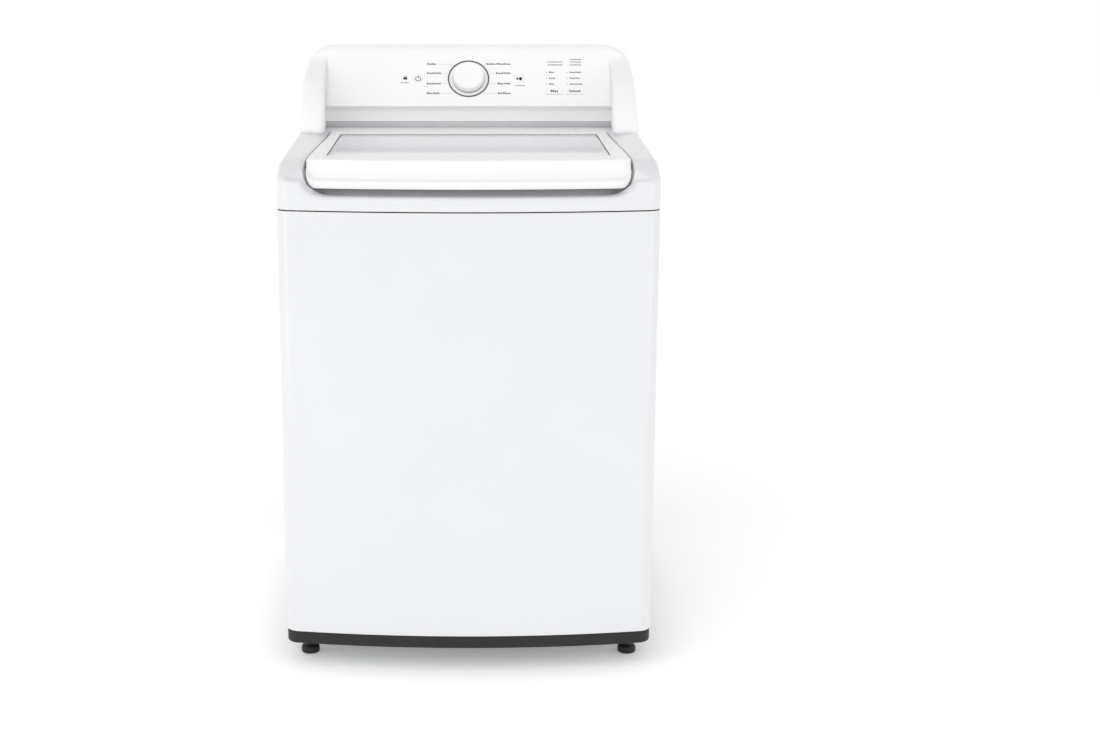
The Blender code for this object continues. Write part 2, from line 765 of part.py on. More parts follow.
def dispenser():
    """Detergent drawer behind the throat, with the sleeve it slides in."""
    low, high = (-0.130, 0.182, 0.850), (0.130, 0.335, 0.8955)
    sleeve = block("dispenser_sleeve", low, high, grey_plastic())
    wall = 0.0022
    room_low = (low[0] + wall, low[1] - 0.01, low[2] + wall)
    cut_block(sleeve, room_low, tuple(edge - wall for edge in high), "room")
    x, z0, z1 = 0.1270, 0.8528, 0.8925
    drawer = block("dispenser_drawer", (-x, 0.171, z0), (x, 0.3315, z1), white_abs())
    cut_block(drawer, (-x + 0.002, 0.178, z0 + 0.002), (-0.002, 0.3295, z1 + 0.01), "left_bay")
    cut_block(drawer, (0.002, 0.178, z0 + 0.002), (x - 0.002, 0.3295, z1 + 0.01), "right_bay")


# ---------------------------------------------------------------- tub and drive


def rod_places():
    return {
        "front_left": (-ROD_X, -ROD_Y), "front_right": (ROD_X, -ROD_Y),
        "rear_left": (-ROD_X, ROD_Y), "rear_right": (ROD_X, ROD_Y),
    }


def outer_tub():
    w = TUB_WALL
    profile = [
        (0.0265, TUB_FLOOR_Z), (0.292, TUB_FLOOR_Z), (TUB_R, TUB_FLOOR_Z + 0.010), (TUB_R, TUB_TOP_Z),
        (TUB_R - w, TUB_TOP_Z), (TUB_R - w, TUB_FLOOR_Z + 0.012), (0.290, TUB_FLOOR_Z + w + 0.001),
        (0.0265, TUB_FLOOR_Z + w + 0.001),
    ]
    tub = turn("outer_tub", profile, grey_plastic())
    reach = math.hypot(ROD_X, ROD_Y) + 0.017
    for corner, (x, y) in rod_places().items():
        arm = block(
            f"ear_{corner}", (TUB_R - 0.0015, -0.024, EAR_Z[0]), (reach, 0.024, EAR_Z[1]), grey_plastic()
        )
        arm.rotation_euler = (0, 0, math.atan2(y, x))
        cut(tub, hide(arm), "UNION")
    lines = [((x, y, EAR_Z[0] - 0.02), (x, y, EAR_Z[1] + 0.02)) for x, y in rod_places().values()]
    cut_rods(tub, 0.0062, lines, 10)


def suspension():
    """Four hanging rods with springs, held by brackets in the cabinet's upper corners."""
    seat = 0.8430
    rod = [
        (0, 0.232), (0.014, 0.232), (0.014, 0.2375), (0.004, 0.2385), (0.004, seat + GAP),
        (0.010, seat + GAP), (0.0085, seat + 0.009), (0, seat + 0.011),
    ]
    spring = band(0.0075, 0.0135, 0.2388, EAR_Z[0] - GAP)
    for corner, (x, y) in rod_places().items():
        turn(f"suspension_rod_{corner}", rod, steel(), 10, location=(x, y, 0))
        turn(f"suspension_spring_{corner}", spring, steel(), 10, location=(x, y, 0))
    for name, side in (("left", -1), ("right", 1)):
        plan = [
            (0.3410, -0.306), (0.3410, 0.3230), (0.3190, 0.3425), (0.250, 0.3425), (0.3080, 0.215),
            (0.3250, 0.120), (0.3250, -0.120), (0.3080, -0.215), (0.250, -0.3280), (0.3190, -0.3280),
        ]
        plan = [(side * px, py) for px, py in plan]
        rail = prism(f"suspension_rail_{name}", plan, seat - 0.003, seat, steel(), smooth=False)
        holes = [(side * ROD_X, sy * ROD_Y) for sy in (-1, 1)]
        cut_rods(rail, 0.0047, [((x, y, seat - 0.01), (x, y, seat + 0.01)) for x, y in holes], 12)


def tub_cover():
    z = TUB_TOP_Z + GAP
    profile = [
        (TUB_R - 0.006, z), (TUB_R + 0.003, z), (TUB_R + 0.003, z + 0.010), (TUB_R - 0.006, z + 0.014),
        (0.252, z + 0.024), (0.246, z + 0.024), (0.246, z + 0.010), (0.250, z + 0.020),
        (TUB_R - 0.009, z + 0.010),
    ]
    turn("tub_cover", profile, grey_plastic())


def drive_unit():
    turn("bearing_housing", [(0.0262, 0.160), (0.062, 0.160), (0.062, 0.176), (0.120, 0.208),
                             (0.120, TUB_FLOOR_Z - GAP), (0.0262, TUB_FLOOR_Z - GAP)], aluminium(), 24)
    turn("lower_bearing", band(TUBE_R + 0.0002, 0.0260, 0.162, 0.175), steel(), 24)
    turn("upper_bearing", band(TUBE_R + 0.0002, 0.0260, 0.196, 0.211), steel(), 24)
    turn("stator", band(0.068, 0.112, 0.140, 0.164), copper(), 28)
    rotor = [
        (0.0103, 0.122), (0.121, 0.122), (0.125, 0.126), (0.125, 0.170), (0.1165, 0.170), (0.1165, 0.128),
        (0.0103, 0.128),
    ]
    turn("rotor", rotor, steel(), 28)
    turn("spin_tube", band(SHAFT_R + 0.0004, TUBE_R, 0.135, 0.266), steel(), 24)
    turn("drive_shaft", band(0, SHAFT_R, 0.112, 0.6385), steel(), 24)


def aluminium():
    return material("cast_aluminium", (0.62, 0.63, 0.64), 0.45, 1.0)


def basket_parts():
    z, w = BASKET_FLOOR_Z, 0.0010
    hub = [
        (TUBE_R + 0.0003, 0.240), (0.045, 0.240), (0.060, 0.252), (0.236, 0.252), (0.240, z - GAP),
        (TUBE_R + 0.0003, z - GAP),
    ]
    turn("basket_hub", hub, aluminium(), 28)
    shell = [
        (TUBE_R + 0.0003, z), (0.252, z), (BASKET_R, z + 0.018), (BASKET_R, BASKET_TOP_Z),
        (BASKET_R - w, BASKET_TOP_Z), (BASKET_R - w, z + 0.019), (0.2515, z + w), (TUBE_R + 0.0003, z + w),
    ]
    turn("basket", shell, stainless())
    y = BASKET_TOP_Z + GAP
    ring = [
        (BALANCE_IN_R + 0.006, y), (BASKET_R + 0.002, y), (BASKET_R + 0.002, 0.784), (0.262, 0.793),
        (0.246, 0.795), (BALANCE_IN_R, 0.788), (BALANCE_IN_R, y + 0.006),
    ]
    turn("balance_ring", ring, grey_plastic())


def agitator():
    """Skirted base with four tall fins, and the spiral sleeve that turns on its column."""
    z = BASKET_FLOOR_Z + 0.005
    base = [
        (SHAFT_R + 0.0003, z + 0.004), (0.150, z + 0.002), (0.172, z), (0.174, z + 0.010), (0.140, z + 0.024),
        (0.085, z + 0.045), (0.058, z + 0.085), (0.048, z + 0.200), (SHAFT_R + 0.0003, z + 0.200),
    ]
    body = turn("agitator_base", base, white_abs(), 28)
    for i in range(4):
        bm = bmesh.new()
        outline = [(0.030, z + 0.020), (0.150, z + 0.014), (0.150, z + 0.036), (0.105, z + 0.062),
                   (0.080, z + 0.130), (0.070, z + 0.190), (0.030, z + 0.195)]
        face = bm.faces.new([bm.verts.new((r, -0.0035, h)) for r, h in outline])
        made = bmesh.ops.extrude_face_region(bm, geom=[face])
        moved = [v for v in made["geom"] if isinstance(v, bmesh.types.BMVert)]
        bmesh.ops.translate(bm, verts=moved, vec=(0, 0.007, 0))
        fin = place(f"agitator_fin_{i}", bm, white_abs())
        fin.rotation_euler = (0, 0, math.pi / 2 * i + math.pi / 4)
        cut(body, hide(fin), "UNION")
    z = z + 0.200 + 0.001
    auger = [(SHAFT_R + 0.0003, z), (0.050, z), (0.044, z + 0.165), (SHAFT_R + 0.0003, z + 0.165)]
    sleeve = turn("agitator_auger", auger, white_abs(), 24)
    for i in range(2):
        cut(sleeve, hide(screw_fin(f"auger_fin_{i}", z + 0.008, 0.148, math.pi * i)), "UNION")
    z = z + 0.165 + 0.001
    cap = [
        (0, z + 0.008), (0.030, z + 0.008), (0.032, z), (0.043, z), (0.042, z + 0.022), (0.034, z + 0.030),
        (0, z + 0.032),
    ]
    turn("agitator_cap", cap, gloss_abs(), 24)


def screw_fin(name, z, rise, phase):
    """One spiral vane: a blade swept half a turn round the column."""
    bm = bmesh.new()
    steps, thick = 14, 0.006
    rings = []
    for i in range(steps + 1):
        share = i / steps
        angle = phase + math.pi * 1.1 * share
        height = z + (rise - thick) * share
        reach = 0.069 - 0.010 * share
        c, s = math.cos(angle), math.sin(angle)
        section = [(0.036, 0), (reach, 0.001), (reach, thick - 0.001), (0.036, thick)]
        rings.append([bm.verts.new((r * c, r * s, height + h)) for r, h in section])
    for low, high in zip(rings, rings[1:]):
        for k in range(4):
            j = (k + 1) % 4
            bm.faces.new((low[k], low[j], high[j], high[k]))
    bm.faces.new(rings[0])
    bm.faces.new(reversed(rings[-1]))
    return place(name, bm, white_abs())


def sump_bellows():
    """Short hose between the tub's outlet and the pump."""
    profile = [(0.0145, 0.1475), (0.0185, 0.1475), (0.0215, 0.160), (0.0175, 0.172), (0.0215, 0.184),
               (0.0175, 0.196), (0.0205, TUB_FLOOR_Z - GAP), (0.0145, TUB_FLOOR_Z - GAP)]
    turn("sump_bellows", profile, rubber(), FINE, location=(0.185, 0.165, 0))


def main():
    clear_scene()
    cabinet_wrap()
    rear_panel()
    base_frame()
    kick_strip()
    levelling_feet()
    top_cover()
    lid_frame()
    lid_panel()
    lid_liner()
    lid_fittings()
    lid_lock()
    console_housing()
    console_face()
    controls()
    inlet_valve()
    drain_parts()
    power_inlet()
    dispenser()
    outer_tub()
    suspension()
    tub_cover()
    drive_unit()
    basket_parts()
    agitator()
    sump_bellows()


main()
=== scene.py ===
"""Visual model of a top load washing machine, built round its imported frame."""

import json
import math

import bmesh
import bpy
from bpy.props import FloatProperty, IntProperty, PointerProperty, StringProperty
from mathutils import Matrix, Vector


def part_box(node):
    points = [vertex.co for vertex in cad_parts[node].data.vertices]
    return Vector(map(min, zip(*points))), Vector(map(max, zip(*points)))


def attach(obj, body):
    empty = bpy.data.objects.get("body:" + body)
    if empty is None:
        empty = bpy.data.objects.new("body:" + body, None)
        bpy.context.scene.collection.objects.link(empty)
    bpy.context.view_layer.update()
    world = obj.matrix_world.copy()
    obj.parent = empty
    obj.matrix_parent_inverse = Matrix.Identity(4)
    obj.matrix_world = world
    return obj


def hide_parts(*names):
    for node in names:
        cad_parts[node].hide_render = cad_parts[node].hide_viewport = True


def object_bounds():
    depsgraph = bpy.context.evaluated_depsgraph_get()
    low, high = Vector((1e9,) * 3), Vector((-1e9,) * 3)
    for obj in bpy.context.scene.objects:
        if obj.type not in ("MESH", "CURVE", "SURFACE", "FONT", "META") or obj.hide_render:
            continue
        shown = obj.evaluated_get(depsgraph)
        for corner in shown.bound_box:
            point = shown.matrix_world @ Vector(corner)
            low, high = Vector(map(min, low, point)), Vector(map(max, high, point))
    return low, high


bl_info = {
    "name": "Top load washing machine",
    "version": (1, 0, 0),
    "blender": (4, 5, 0),
    "location": "3D View > Sidebar > Washer",
    "description": "Builds the covers, controls, tub and finishes of a top load washing machine",
    "category": "Add Mesh",
}

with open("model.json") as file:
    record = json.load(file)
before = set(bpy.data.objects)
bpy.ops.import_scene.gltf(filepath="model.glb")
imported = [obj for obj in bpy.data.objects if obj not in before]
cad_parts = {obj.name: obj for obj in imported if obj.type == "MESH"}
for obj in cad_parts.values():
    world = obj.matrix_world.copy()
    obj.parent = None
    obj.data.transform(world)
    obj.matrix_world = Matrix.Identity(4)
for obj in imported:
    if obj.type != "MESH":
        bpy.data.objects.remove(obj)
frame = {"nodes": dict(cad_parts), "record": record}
CAD_LOW, CAD_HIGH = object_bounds()
MM = 0.001

CORNERS = ("front_left", "front_right", "rear_left", "rear_right")


def low(node):
    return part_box(node)[0]


def high(node):
    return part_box(node)[1]


# Cabinet sizes, read from the frame
HALF_W = high("cabinet_wrap").x
BACK_Y = CAD_HIGH.y
FRONT_BOW = 29.5 * MM
CORNER_Y = low("cabinet_wrap").y + FRONT_BOW
FRONT_CORNER_R = 22 * MM
CABINET_Z = low("cabinet_wrap").z
COVER_Z = low("top_cover").z
TOP_Z = high("console_housing").z
CONSOLE_Z = low("console_housing").z
COVER_BACK = high("top_cover").y
SHEET = 1.0 * MM
SHELL = 2.5 * MM
SEAM = 1.6 * MM

# Top cover and lid
DECK_Z = 948 * MM
LEDGE_Z = 891 * MM
FLOOR_Z = 914 * MM
LIP_Z = 898.5 * MM
THROAT_HALF_W = 235 * MM
THROAT_Y = (-235 * MM, 175 * MM)
THROAT_R = 120 * MM
LID_TOP_Z = high("lid_frame").z
LID_HALF_W = high("lid_frame").x - 1.5 * MM
OPENING_HALF_W = 296.4 * MM
LID_TAPER = 9.5 * MM
LID_FRONT_Y = -269 * MM
LID_BOW = 20 * MM
APRON_Y = low("lid_frame").y + LID_BOW
APRON_Z = low("lid_frame").z
HINGE_Y = 213 * MM
HINGE_Z = 936 * MM
NOSE_R = high("lid_frame").y - HINGE_Y
PANEL_HALF_W = 260.5 * MM
PANEL_SPAN = (-213.5 * MM, 155.5 * MM)

# Console
LEAN = math.radians(34)
FACE_FOOT = (254 * MM, 995 * MM)
FACE_LENGTH = 128 * MM
FACE_HALF_W = 297.5 * MM
CHEEK_X = 299.5 * MM
FACE_UP = 66 * MM
GROOVE_Z = 961.0 * MM
GROOVE = 1.0 * MM
KNOB_R = 33.25 * MM
RING_R = 43.3 * MM


# ------------------------------------------------------------------ settings


class WasherSizes(bpy.types.PropertyGroup):
    """Sizes a user would change."""

    basket_pitch: FloatProperty(
        name="Hole pitch", description="Distance between the basket's drain holes",
        default=17 * MM, unit="LENGTH",
    )
    basket_hole: FloatProperty(
        name="Hole radius", description="Radius of a basket drain hole", default=1.9 * MM, unit="LENGTH"
    )
    spring_wire: FloatProperty(
        name="Spring wire", description="Radius of a suspension spring's wire", default=1.5 * MM, unit="LENGTH"
    )
    spring_turns: IntProperty(name="Spring turns", description="Turns of each suspension spring", default=6)
    screw_head: FloatProperty(
        name="Screw head", description="Radius of a case screw's head", default=4.2 * MM, unit="LENGTH"
    )


class WasherColours(bpy.types.PropertyGroup):
    """Colours as sRGB hex values."""

    enamel: StringProperty(name="Enamel", description="Cabinet steel", default="#E4E5E7")
    plastic: StringProperty(name="White ABS", description="Lid, console and keys", default="#F6F6F7")
    panel: StringProperty(name="Lid panel", description="Polished lid panel", default="#E4E6E9")
    strip: StringProperty(name="Kick strip", description="Black skirt and feet", default="#131315")
    ink: StringProperty(name="Ink", description="Printed marks", default="#2A2B2E")


def sizes():
    return bpy.context.scene.washer_sizes


def colours():
    return bpy.context.scene.washer_colours


# ----------------------------------------------------------------- materials


def linear(hex_colour):
    """An sRGB hex colour as linear RGBA."""
    parts = [int(hex_colour[i:i + 2], 16) / 255 for i in (1, 3, 5)]
    return tuple(c / 12.92 if c <= 0.04045 else ((c + 0.055) / 1.055) ** 2.4 for c in parts) + (1.0,)


def add(tree, kind, inputs=None, **settings):
    """Add a node, set its own settings, then set or link its inputs."""
    node = tree.nodes.new(kind)
    for name, value in settings.items():
        setattr(node, name, value)
    for name, value in (inputs or {}).items():
        if isinstance(value, bpy.types.NodeSocket):
            tree.links.new(value, node.inputs[name])
        else:
            node.inputs[name].default_value = value
    return node


def start_material(name, **shader_values):
    """A new material with its node tree, its shader and its Object coordinates."""
    made = bpy.data.materials.new(name)
    made.use_nodes = True
    tree = made.node_tree
    shader = tree.nodes["Principled BSDF"]
    for key, value in shader_values.items():
        shader.inputs[key.replace("_", " ")].default_value = value
    place = add(tree, "ShaderNodeTexCoord").outputs["Object"]
    return made, tree, shader, place


def mottled(tree, shader, place, colour, depth, size, low_share=0.97):
    """Vary a base colour slightly over patches of a real size."""
    noise = add(tree, "ShaderNodeTexNoise", {"Vector": place, "Scale": 1 / size, "Detail": depth})
    r, g, b, _ = linear(colour)
    ramp = add(tree, "ShaderNodeValToRGB", {"Fac": noise.outputs["Fac"]})
    ramp.color_ramp.elements[0].color = (r * low_share, g * low_share, b * low_share, 1)
    ramp.color_ramp.elements[1].color = (r, g, b, 1)
    ramp.color_ramp.elements[0].position = 0.3
    ramp.color_ramp.elements[1].position = 0.7
    tree.links.new(ramp.outputs["Color"], shader.inputs["Base Color"])


def grained(tree, shader, place, size, strength, height=0.02 * MM, detail=2.0):
    """Surface relief from noise of a real grain size."""
    noise = add(tree, "ShaderNodeTexNoise", {"Vector": place, "Scale": 1 / size, "Detail": detail})
    bump = add(
        tree, "ShaderNodeBump", {"Height": noise.outputs["Fac"], "Strength": strength, "Distance": height}
    )
    tree.links.new(bump.outputs["Normal"], shader.inputs["Normal"])
    return noise


def uneven_gloss(tree, shader, place, low_rough, high_rough, size):
    """Let roughness drift between two values, as handling and moulding leave it."""
    noise = add(tree, "ShaderNodeTexNoise", {"Vector": place, "Scale": 1 / size, "Detail": 3.0})
    spread = add(
        tree, "ShaderNodeMapRange",
        {"Value": noise.outputs["Fac"], "To Min": low_rough, "To Max": high_rough},
    )
    tree.links.new(spread.outputs["Result"], shader.inputs["Roughness"])


def enamelled_steel():
    """Powder enamel on sheet steel: satin white with a faint orange peel under a clear gloss."""
    made, tree, shader, place = start_material(
        "enamelled_steel", Coat_Weight=0.35, Coat_Roughness=0.12, IOR=1.5
    )
    mottled(tree, shader, place, colours().enamel, 2.0, 180 * MM, 0.985)
    grained(tree, shader, place, 3.5 * MM, 0.10, 0.03 * MM)
    uneven_gloss(tree, shader, place, 0.26, 0.34, 60 * MM)
    return made


def moulded_abs():
    """White ABS from a lightly spark-eroded mould: soft satin with a fine grain."""
    made, tree, shader, place = start_material("moulded_white_abs", IOR=1.53)
    mottled(tree, shader, place, colours().plastic, 2.0, 120 * MM, 0.985)
    grained(tree, shader, place, 0.9 * MM, 0.10, 0.02 * MM)
    uneven_gloss(tree, shader, place, 0.30, 0.38, 45 * MM)
    return made


def polished_abs():
    """Polished ABS panel: a deeper, wet gloss that mirrors the console."""
    made, tree, shader, place = start_material(
        "polished_white_abs", Coat_Weight=0.6, Coat_Roughness=0.03, IOR=1.53
    )
    mottled(tree, shader, place, colours().panel, 2.0, 150 * MM, 0.985)
    uneven_gloss(tree, shader, place, 0.05, 0.09, 60 * MM)
    return made


def textured_polypropylene(name, hex_colour, rough=0.5):
    """Polypropylene with a moulded leather-fine texture that scatters light."""
    made, tree, shader, place = start_material(name, IOR=1.49)
    mottled(tree, shader, place, hex_colour, 3.0, 30 * MM, 0.85)
    grained(tree, shader, place, 0.8 * MM, 0.25, 0.04 * MM)
    uneven_gloss(tree, shader, place, rough - 0.06, rough + 0.06, 20 * MM)
    return made


def moulded_elastomer_and_shade():
    """Carbon-black rubber: dull, with a dusty bloom. The same dark finish also lines the gap round the lid panel
    and fills the drum's holes, where it is painted shade.
    """
    made, tree, shader, place = start_material("moulded_elastomer_and_shade", IOR=1.52)
    mottled(tree, shader, place, "#1C1C1D", 4.0, 8 * MM, 0.6)
    grained(tree, shader, place, 0.6 * MM, 0.3, 0.05 * MM)
    uneven_gloss(tree, shader, place, 0.68, 0.85, 12 * MM)
    return made


def printed_ink():
    """Pad-printed ink, near black, slightly raised and matt."""
    made, tree, shader, place = start_material("printed_ink", IOR=1.5)
    mottled(tree, shader, place, colours().ink, 3.0, 1.5 * MM, 0.85)
    uneven_gloss(tree, shader, place, 0.45, 0.6, 3 * MM)
    return made


def rolled_stainless():
    """Stainless sheet rolled into a drum: fine streaks that run round it."""
    made, tree, shader, place = start_material("rolled_stainless_steel", Metallic=1.0)
    shader.inputs["Base Color"].default_value = linear("#C9C9C6")
    stretch = add(tree, "ShaderNodeMapping", {"Vector": place, "Scale": (6, 6, 900)})
    streaks = add(tree, "ShaderNodeTexNoise", {"Vector": stretch.outputs["Vector"], "Scale": 1.0, "Detail": 4.0})
    spread = add(
        tree, "ShaderNodeMapRange", {"Value": streaks.outputs["Fac"], "To Min": 0.18, "To Max": 0.38}
    )
    tree.links.new(spread.outputs["Result"], shader.inputs["Roughness"])
    bump = add(
        tree, "ShaderNodeBump", {"Height": streaks.outputs["Fac"], "Strength": 0.15, "Distance": 0.02 * MM}
    )
    tree.links.new(bump.outputs["Normal"], shader.inputs["Normal"])
    return made


def zinc_steel():
    """Hot-dip zinc on steel: grey metal with broad, faint crystal patches."""
    made, tree, shader, place = start_material("galvanised_steel", Metallic=1.0)
    cells = add(tree, "ShaderNodeTexVoronoi", {"Vector": place, "Scale": 1 / (14 * MM)})
    ramp = add(tree, "ShaderNodeValToRGB", {"Fac": cells.outputs["Distance"]})
    ramp.color_ramp.elements[0].color = linear("#A3A6A9")
    ramp.color_ramp.elements[1].color = linear("#B9BCBE")
    tree.links.new(ramp.outputs["Color"], shader.inputs["Base Color"])
    uneven_gloss(tree, shader, place, 0.32, 0.5, 18 * MM)
    return made


def cast_aluminium():
    """Die-cast aluminium: dull silver with a sandy skin."""
    made, tree, shader, place = start_material("cast_aluminium", Metallic=1.0)
    mottled(tree, shader, place, "#B4B6B8", 3.0, 20 * MM, 0.85)
    grained(tree, shader, place, 1.2 * MM, 0.3, 0.06 * MM)
    uneven_gloss(tree, shader, place, 0.42, 0.58, 10 * MM)
    return made


def copper_winding():
    """Enamelled copper wire laid in rings, 1 mm apart so that it shows."""
    made, tree, shader, place = start_material("enamelled_copper", Metallic=1.0, Roughness=0.35)
    shader.inputs["Base Color"].default_value = linear("#B5683A")
    rings = add(
        tree, "ShaderNodeTexWave", {"Vector": place, "Scale": 300.0}, wave_type="RINGS", rings_direction="Z"
    )
    bump = add(
        tree, "ShaderNodeBump", {"Height": rings.outputs["Fac"], "Strength": 0.5, "Distance": 0.3 * MM}
    )
    tree.links.new(bump.outputs["Normal"], shader.inputs["Normal"])
    return made


def coated_board():
    """Circuit board: green lacquer over glass weave."""
    made, tree, shader, place = start_material("coated_circuit_board", Coat_Weight=0.4)
    mottled(tree, shader, place, "#1E5A34", 4.0, 3 * MM, 0.7)
    grained(tree, shader, place, 0.7 * MM, 0.2, 0.03 * MM)
    uneven_gloss(tree, shader, place, 0.35, 0.5, 8 * MM)
    return made


def dark_trim():
    """Dark satin trim of the dial's ring; the same dark finish makes the skirt at the dial's foot, which is
    painted shade.
    """
    made, tree, shader, place = start_material("satin_trim_and_painted_shade", IOR=1.5)
    mottled(tree, shader, place, "#3A3B3E", 2.0, 6 * MM, 0.9)
    uneven_gloss(tree, shader, place, 0.28, 0.36, 10 * MM)
    return made


MATERIALS = {
    "enamel": enamelled_steel, "white_abs": moulded_abs, "gloss_abs": polished_abs, "ink": printed_ink,
    "stainless": rolled_stainless, "steel": zinc_steel, "aluminium": cast_aluminium,
    "copper": copper_winding, "board": coated_board, "rubber": moulded_elastomer_and_shade, "dark_trim": dark_trim,
    "black_plastic": lambda: textured_polypropylene("black_polypropylene", colours().strip),
    "grey_plastic": lambda: textured_polypropylene("grey_polypropylene", "#C4C8CC"),
}
made_materials = {}


def finish(slot):
    """The material of a slot, made once."""
    if slot not in made_materials:
        made_materials[slot] = MATERIALS[slot]()
    return made_materials[slot]


# ------------------------------------------------------------- mesh building


def object_from(name, bm, slot, body, replaces=(), bevel=0.0, angle=35):
    """Finish a bmesh as a piece of the object, riding on a body."""
    bmesh.ops.remove_doubles(bm, verts=bm.verts, dist=1e-6)
    bmesh.ops.recalc_face_normals(bm, faces=bm.faces)
    mesh = bpy.data.meshes.new(name)
    bm.to_mesh(mesh)
    bm.free()
    return piece_from(name, mesh, slot, body, replaces, bevel, angle)


def piece_from(name, mesh, slot, body, replaces=(), bevel=0.0, angle=35):
    """Give a mesh its material, shading and rounded edges, and set it riding on a body."""
    mesh.materials.clear()
    mesh.materials.append(finish(slot))
    mesh.shade_smooth()
    mesh.set_sharp_from_angle(angle=math.radians(angle))
    obj = bpy.data.objects.new(name, mesh)
    bpy.context.scene.collection.objects.link(obj)
    if bevel:
        rounding = obj.modifiers.new("round_edges", "BEVEL")
        rounding.width = bevel
        rounding.segments = 3
        rounding.limit_method = "ANGLE"
        rounding.angle_limit = math.radians(angle)
        rounding.harden_normals = True
    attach(obj, body)
    if replaces:
        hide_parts(*replaces)
    return obj


def lofted(rings, wrap=False):
    """Skin rings of equal length as a bmesh."""
    bm = bmesh.new()
    rows = [[bm.verts.new(p) for p in ring] for ring in rings]
    pairs = list(zip(rows, rows[1:]))
    if wrap:
        pairs.append((rows[-1], rows[0]))
    else:
        bm.faces.new(rows[0])
        bm.faces.new(reversed(rows[-1]))
    for lower, upper in pairs:
        for i in range(len(lower)):
            j = (i + 1) % len(lower)
            bm.faces.new((lower[i], lower[j], upper[j], upper[i]))
    return bm


def soften(outline, radius, steps=3):
    """Round the corners of a closed outline, less where its sides are short."""
    out = []
    count = len(outline)
    for i, corner in enumerate(outline):
        here = Vector(corner)
        before = Vector(outline[i - 1]) - here
        after = Vector(outline[(i + 1) % count]) - here
        if before.length < 1e-7 or after.length < 1e-7 or (here.x < 1e-6):
            out.append(tuple(here))
            continue
        reach = min(radius, before.length * 0.45, after.length * 0.45)
        start, end = here + before.normalized() * reach, here + after.normalized() * reach
        for k in range(steps + 1):
            t = k / steps
            out.append(tuple(start * (1 - t) ** 2 + here * 2 * t * (1 - t) + end * t * t))
    return out


def turned(profile, segments=96, radius=1.0 * MM):
    """Spin a closed (radius, z) profile with rounded corners about Z, as a bmesh."""
    bm = bmesh.new()
    points = soften(profile, radius) if radius else profile
    verts = [bm.verts.new((r, 0, z)) for r, z in points]
    edges = [bm.edges.new((a, b)) for a, b in zip(verts, verts[1:] + verts[:1])]
    bmesh.ops.spin(
        bm, geom=verts + edges, cent=(0, 0, 0), axis=(0, 0, 1), angle=2 * math.pi,
        steps=segments, use_merge=True, use_duplicate=False,
    )
    bmesh.ops.remove_doubles(bm, verts=bm.verts, dist=1e-6)
    return bm


def moved(bm, matrix):
    bmesh.ops.transform(bm, matrix=matrix, verts=bm.verts)
    return bm


def prism(outline, z0, z1):
    bm = bmesh.new()
    face = bm.faces.new([bm.verts.new((x, y, z0)) for x, y in outline])
    made = bmesh.ops.extrude_face_region(bm, geom=[face])
    top = [v for v in made["geom"] if isinstance(v, bmesh.types.BMVert)]
    bmesh.ops.translate(bm, verts=top, vec=(0, 0, z1 - z0))
    return bm


def boxed(lower, upper):
    bm = bmesh.new()
    size = Vector(upper) - Vector(lower)
    fit = Matrix.Translation((Vector(upper) + Vector(lower)) / 2) @ Matrix.Diagonal((*size, 1))
    bmesh.ops.create_cube(bm, size=1, matrix=fit)
    return bm


def rod(radius, start, end, sides=32):
    bm = bmesh.new()
    start, end = Vector(start), Vector(end)
    along = end - start
    fit = Matrix.Translation((start + end) / 2) @ along.to_track_quat("Z", "Y").to_matrix().to_4x4()
    bmesh.ops.create_cone(
        bm, cap_ends=True, segments=sides, radius1=radius, radius2=radius, depth=along.length, matrix=fit
    )
    return bm


def joined(*parts):
    """Put several bmeshes into the first one."""
    first = parts[0]
    for part in parts[1:]:
        mesh = bpy.data.meshes.new("part")
        part.to_mesh(mesh)
        part.free()
        first.from_mesh(mesh)
        bpy.data.meshes.remove(mesh)
    return first


def carve(obj, cutters):
    """Cut bmesh shapes out of a piece and keep the result as its mesh."""
    for bm in cutters:
        bmesh.ops.recalc_face_normals(bm, faces=bm.faces)
        mesh = bpy.data.meshes.new("cutter")
        bm.to_mesh(mesh)
        bm.free()
        tool = bpy.data.objects.new("cutter", mesh)
        bpy.context.scene.collection.objects.link(tool)
        cut = obj.modifiers.new("cut", "BOOLEAN")
        cut.operation, cut.solver, cut.object = "DIFFERENCE", "EXACT", tool
        while obj.modifiers[0] != cut:
            bpy.context.view_layer.objects.active = obj
            bpy.ops.object.modifier_move_up(modifier=cut.name)
        bpy.context.view_layer.objects.active = obj
        bpy.ops.object.modifier_apply(modifier=cut.name)
        bpy.data.objects.remove(tool)
        bpy.data.meshes.remove(mesh)
    obj.data.shade_smooth()
    obj.data.set_sharp_from_angle(angle=math.radians(35))


# ------------------------------------------------------------ shape formulas


def clamp01(t):
    return min(1.0, max(0.0, t))


def smooth(t):
    t = clamp01(t)
    return t * t * (3 - 2 * t)


def arc(cx, cy, r, start, end, steps):
    angles = (math.radians(start + (end - start) * i / steps) for i in range(steps + 1))
    return [(cx + r * math.cos(a), cy + r * math.sin(a)) for a in angles]


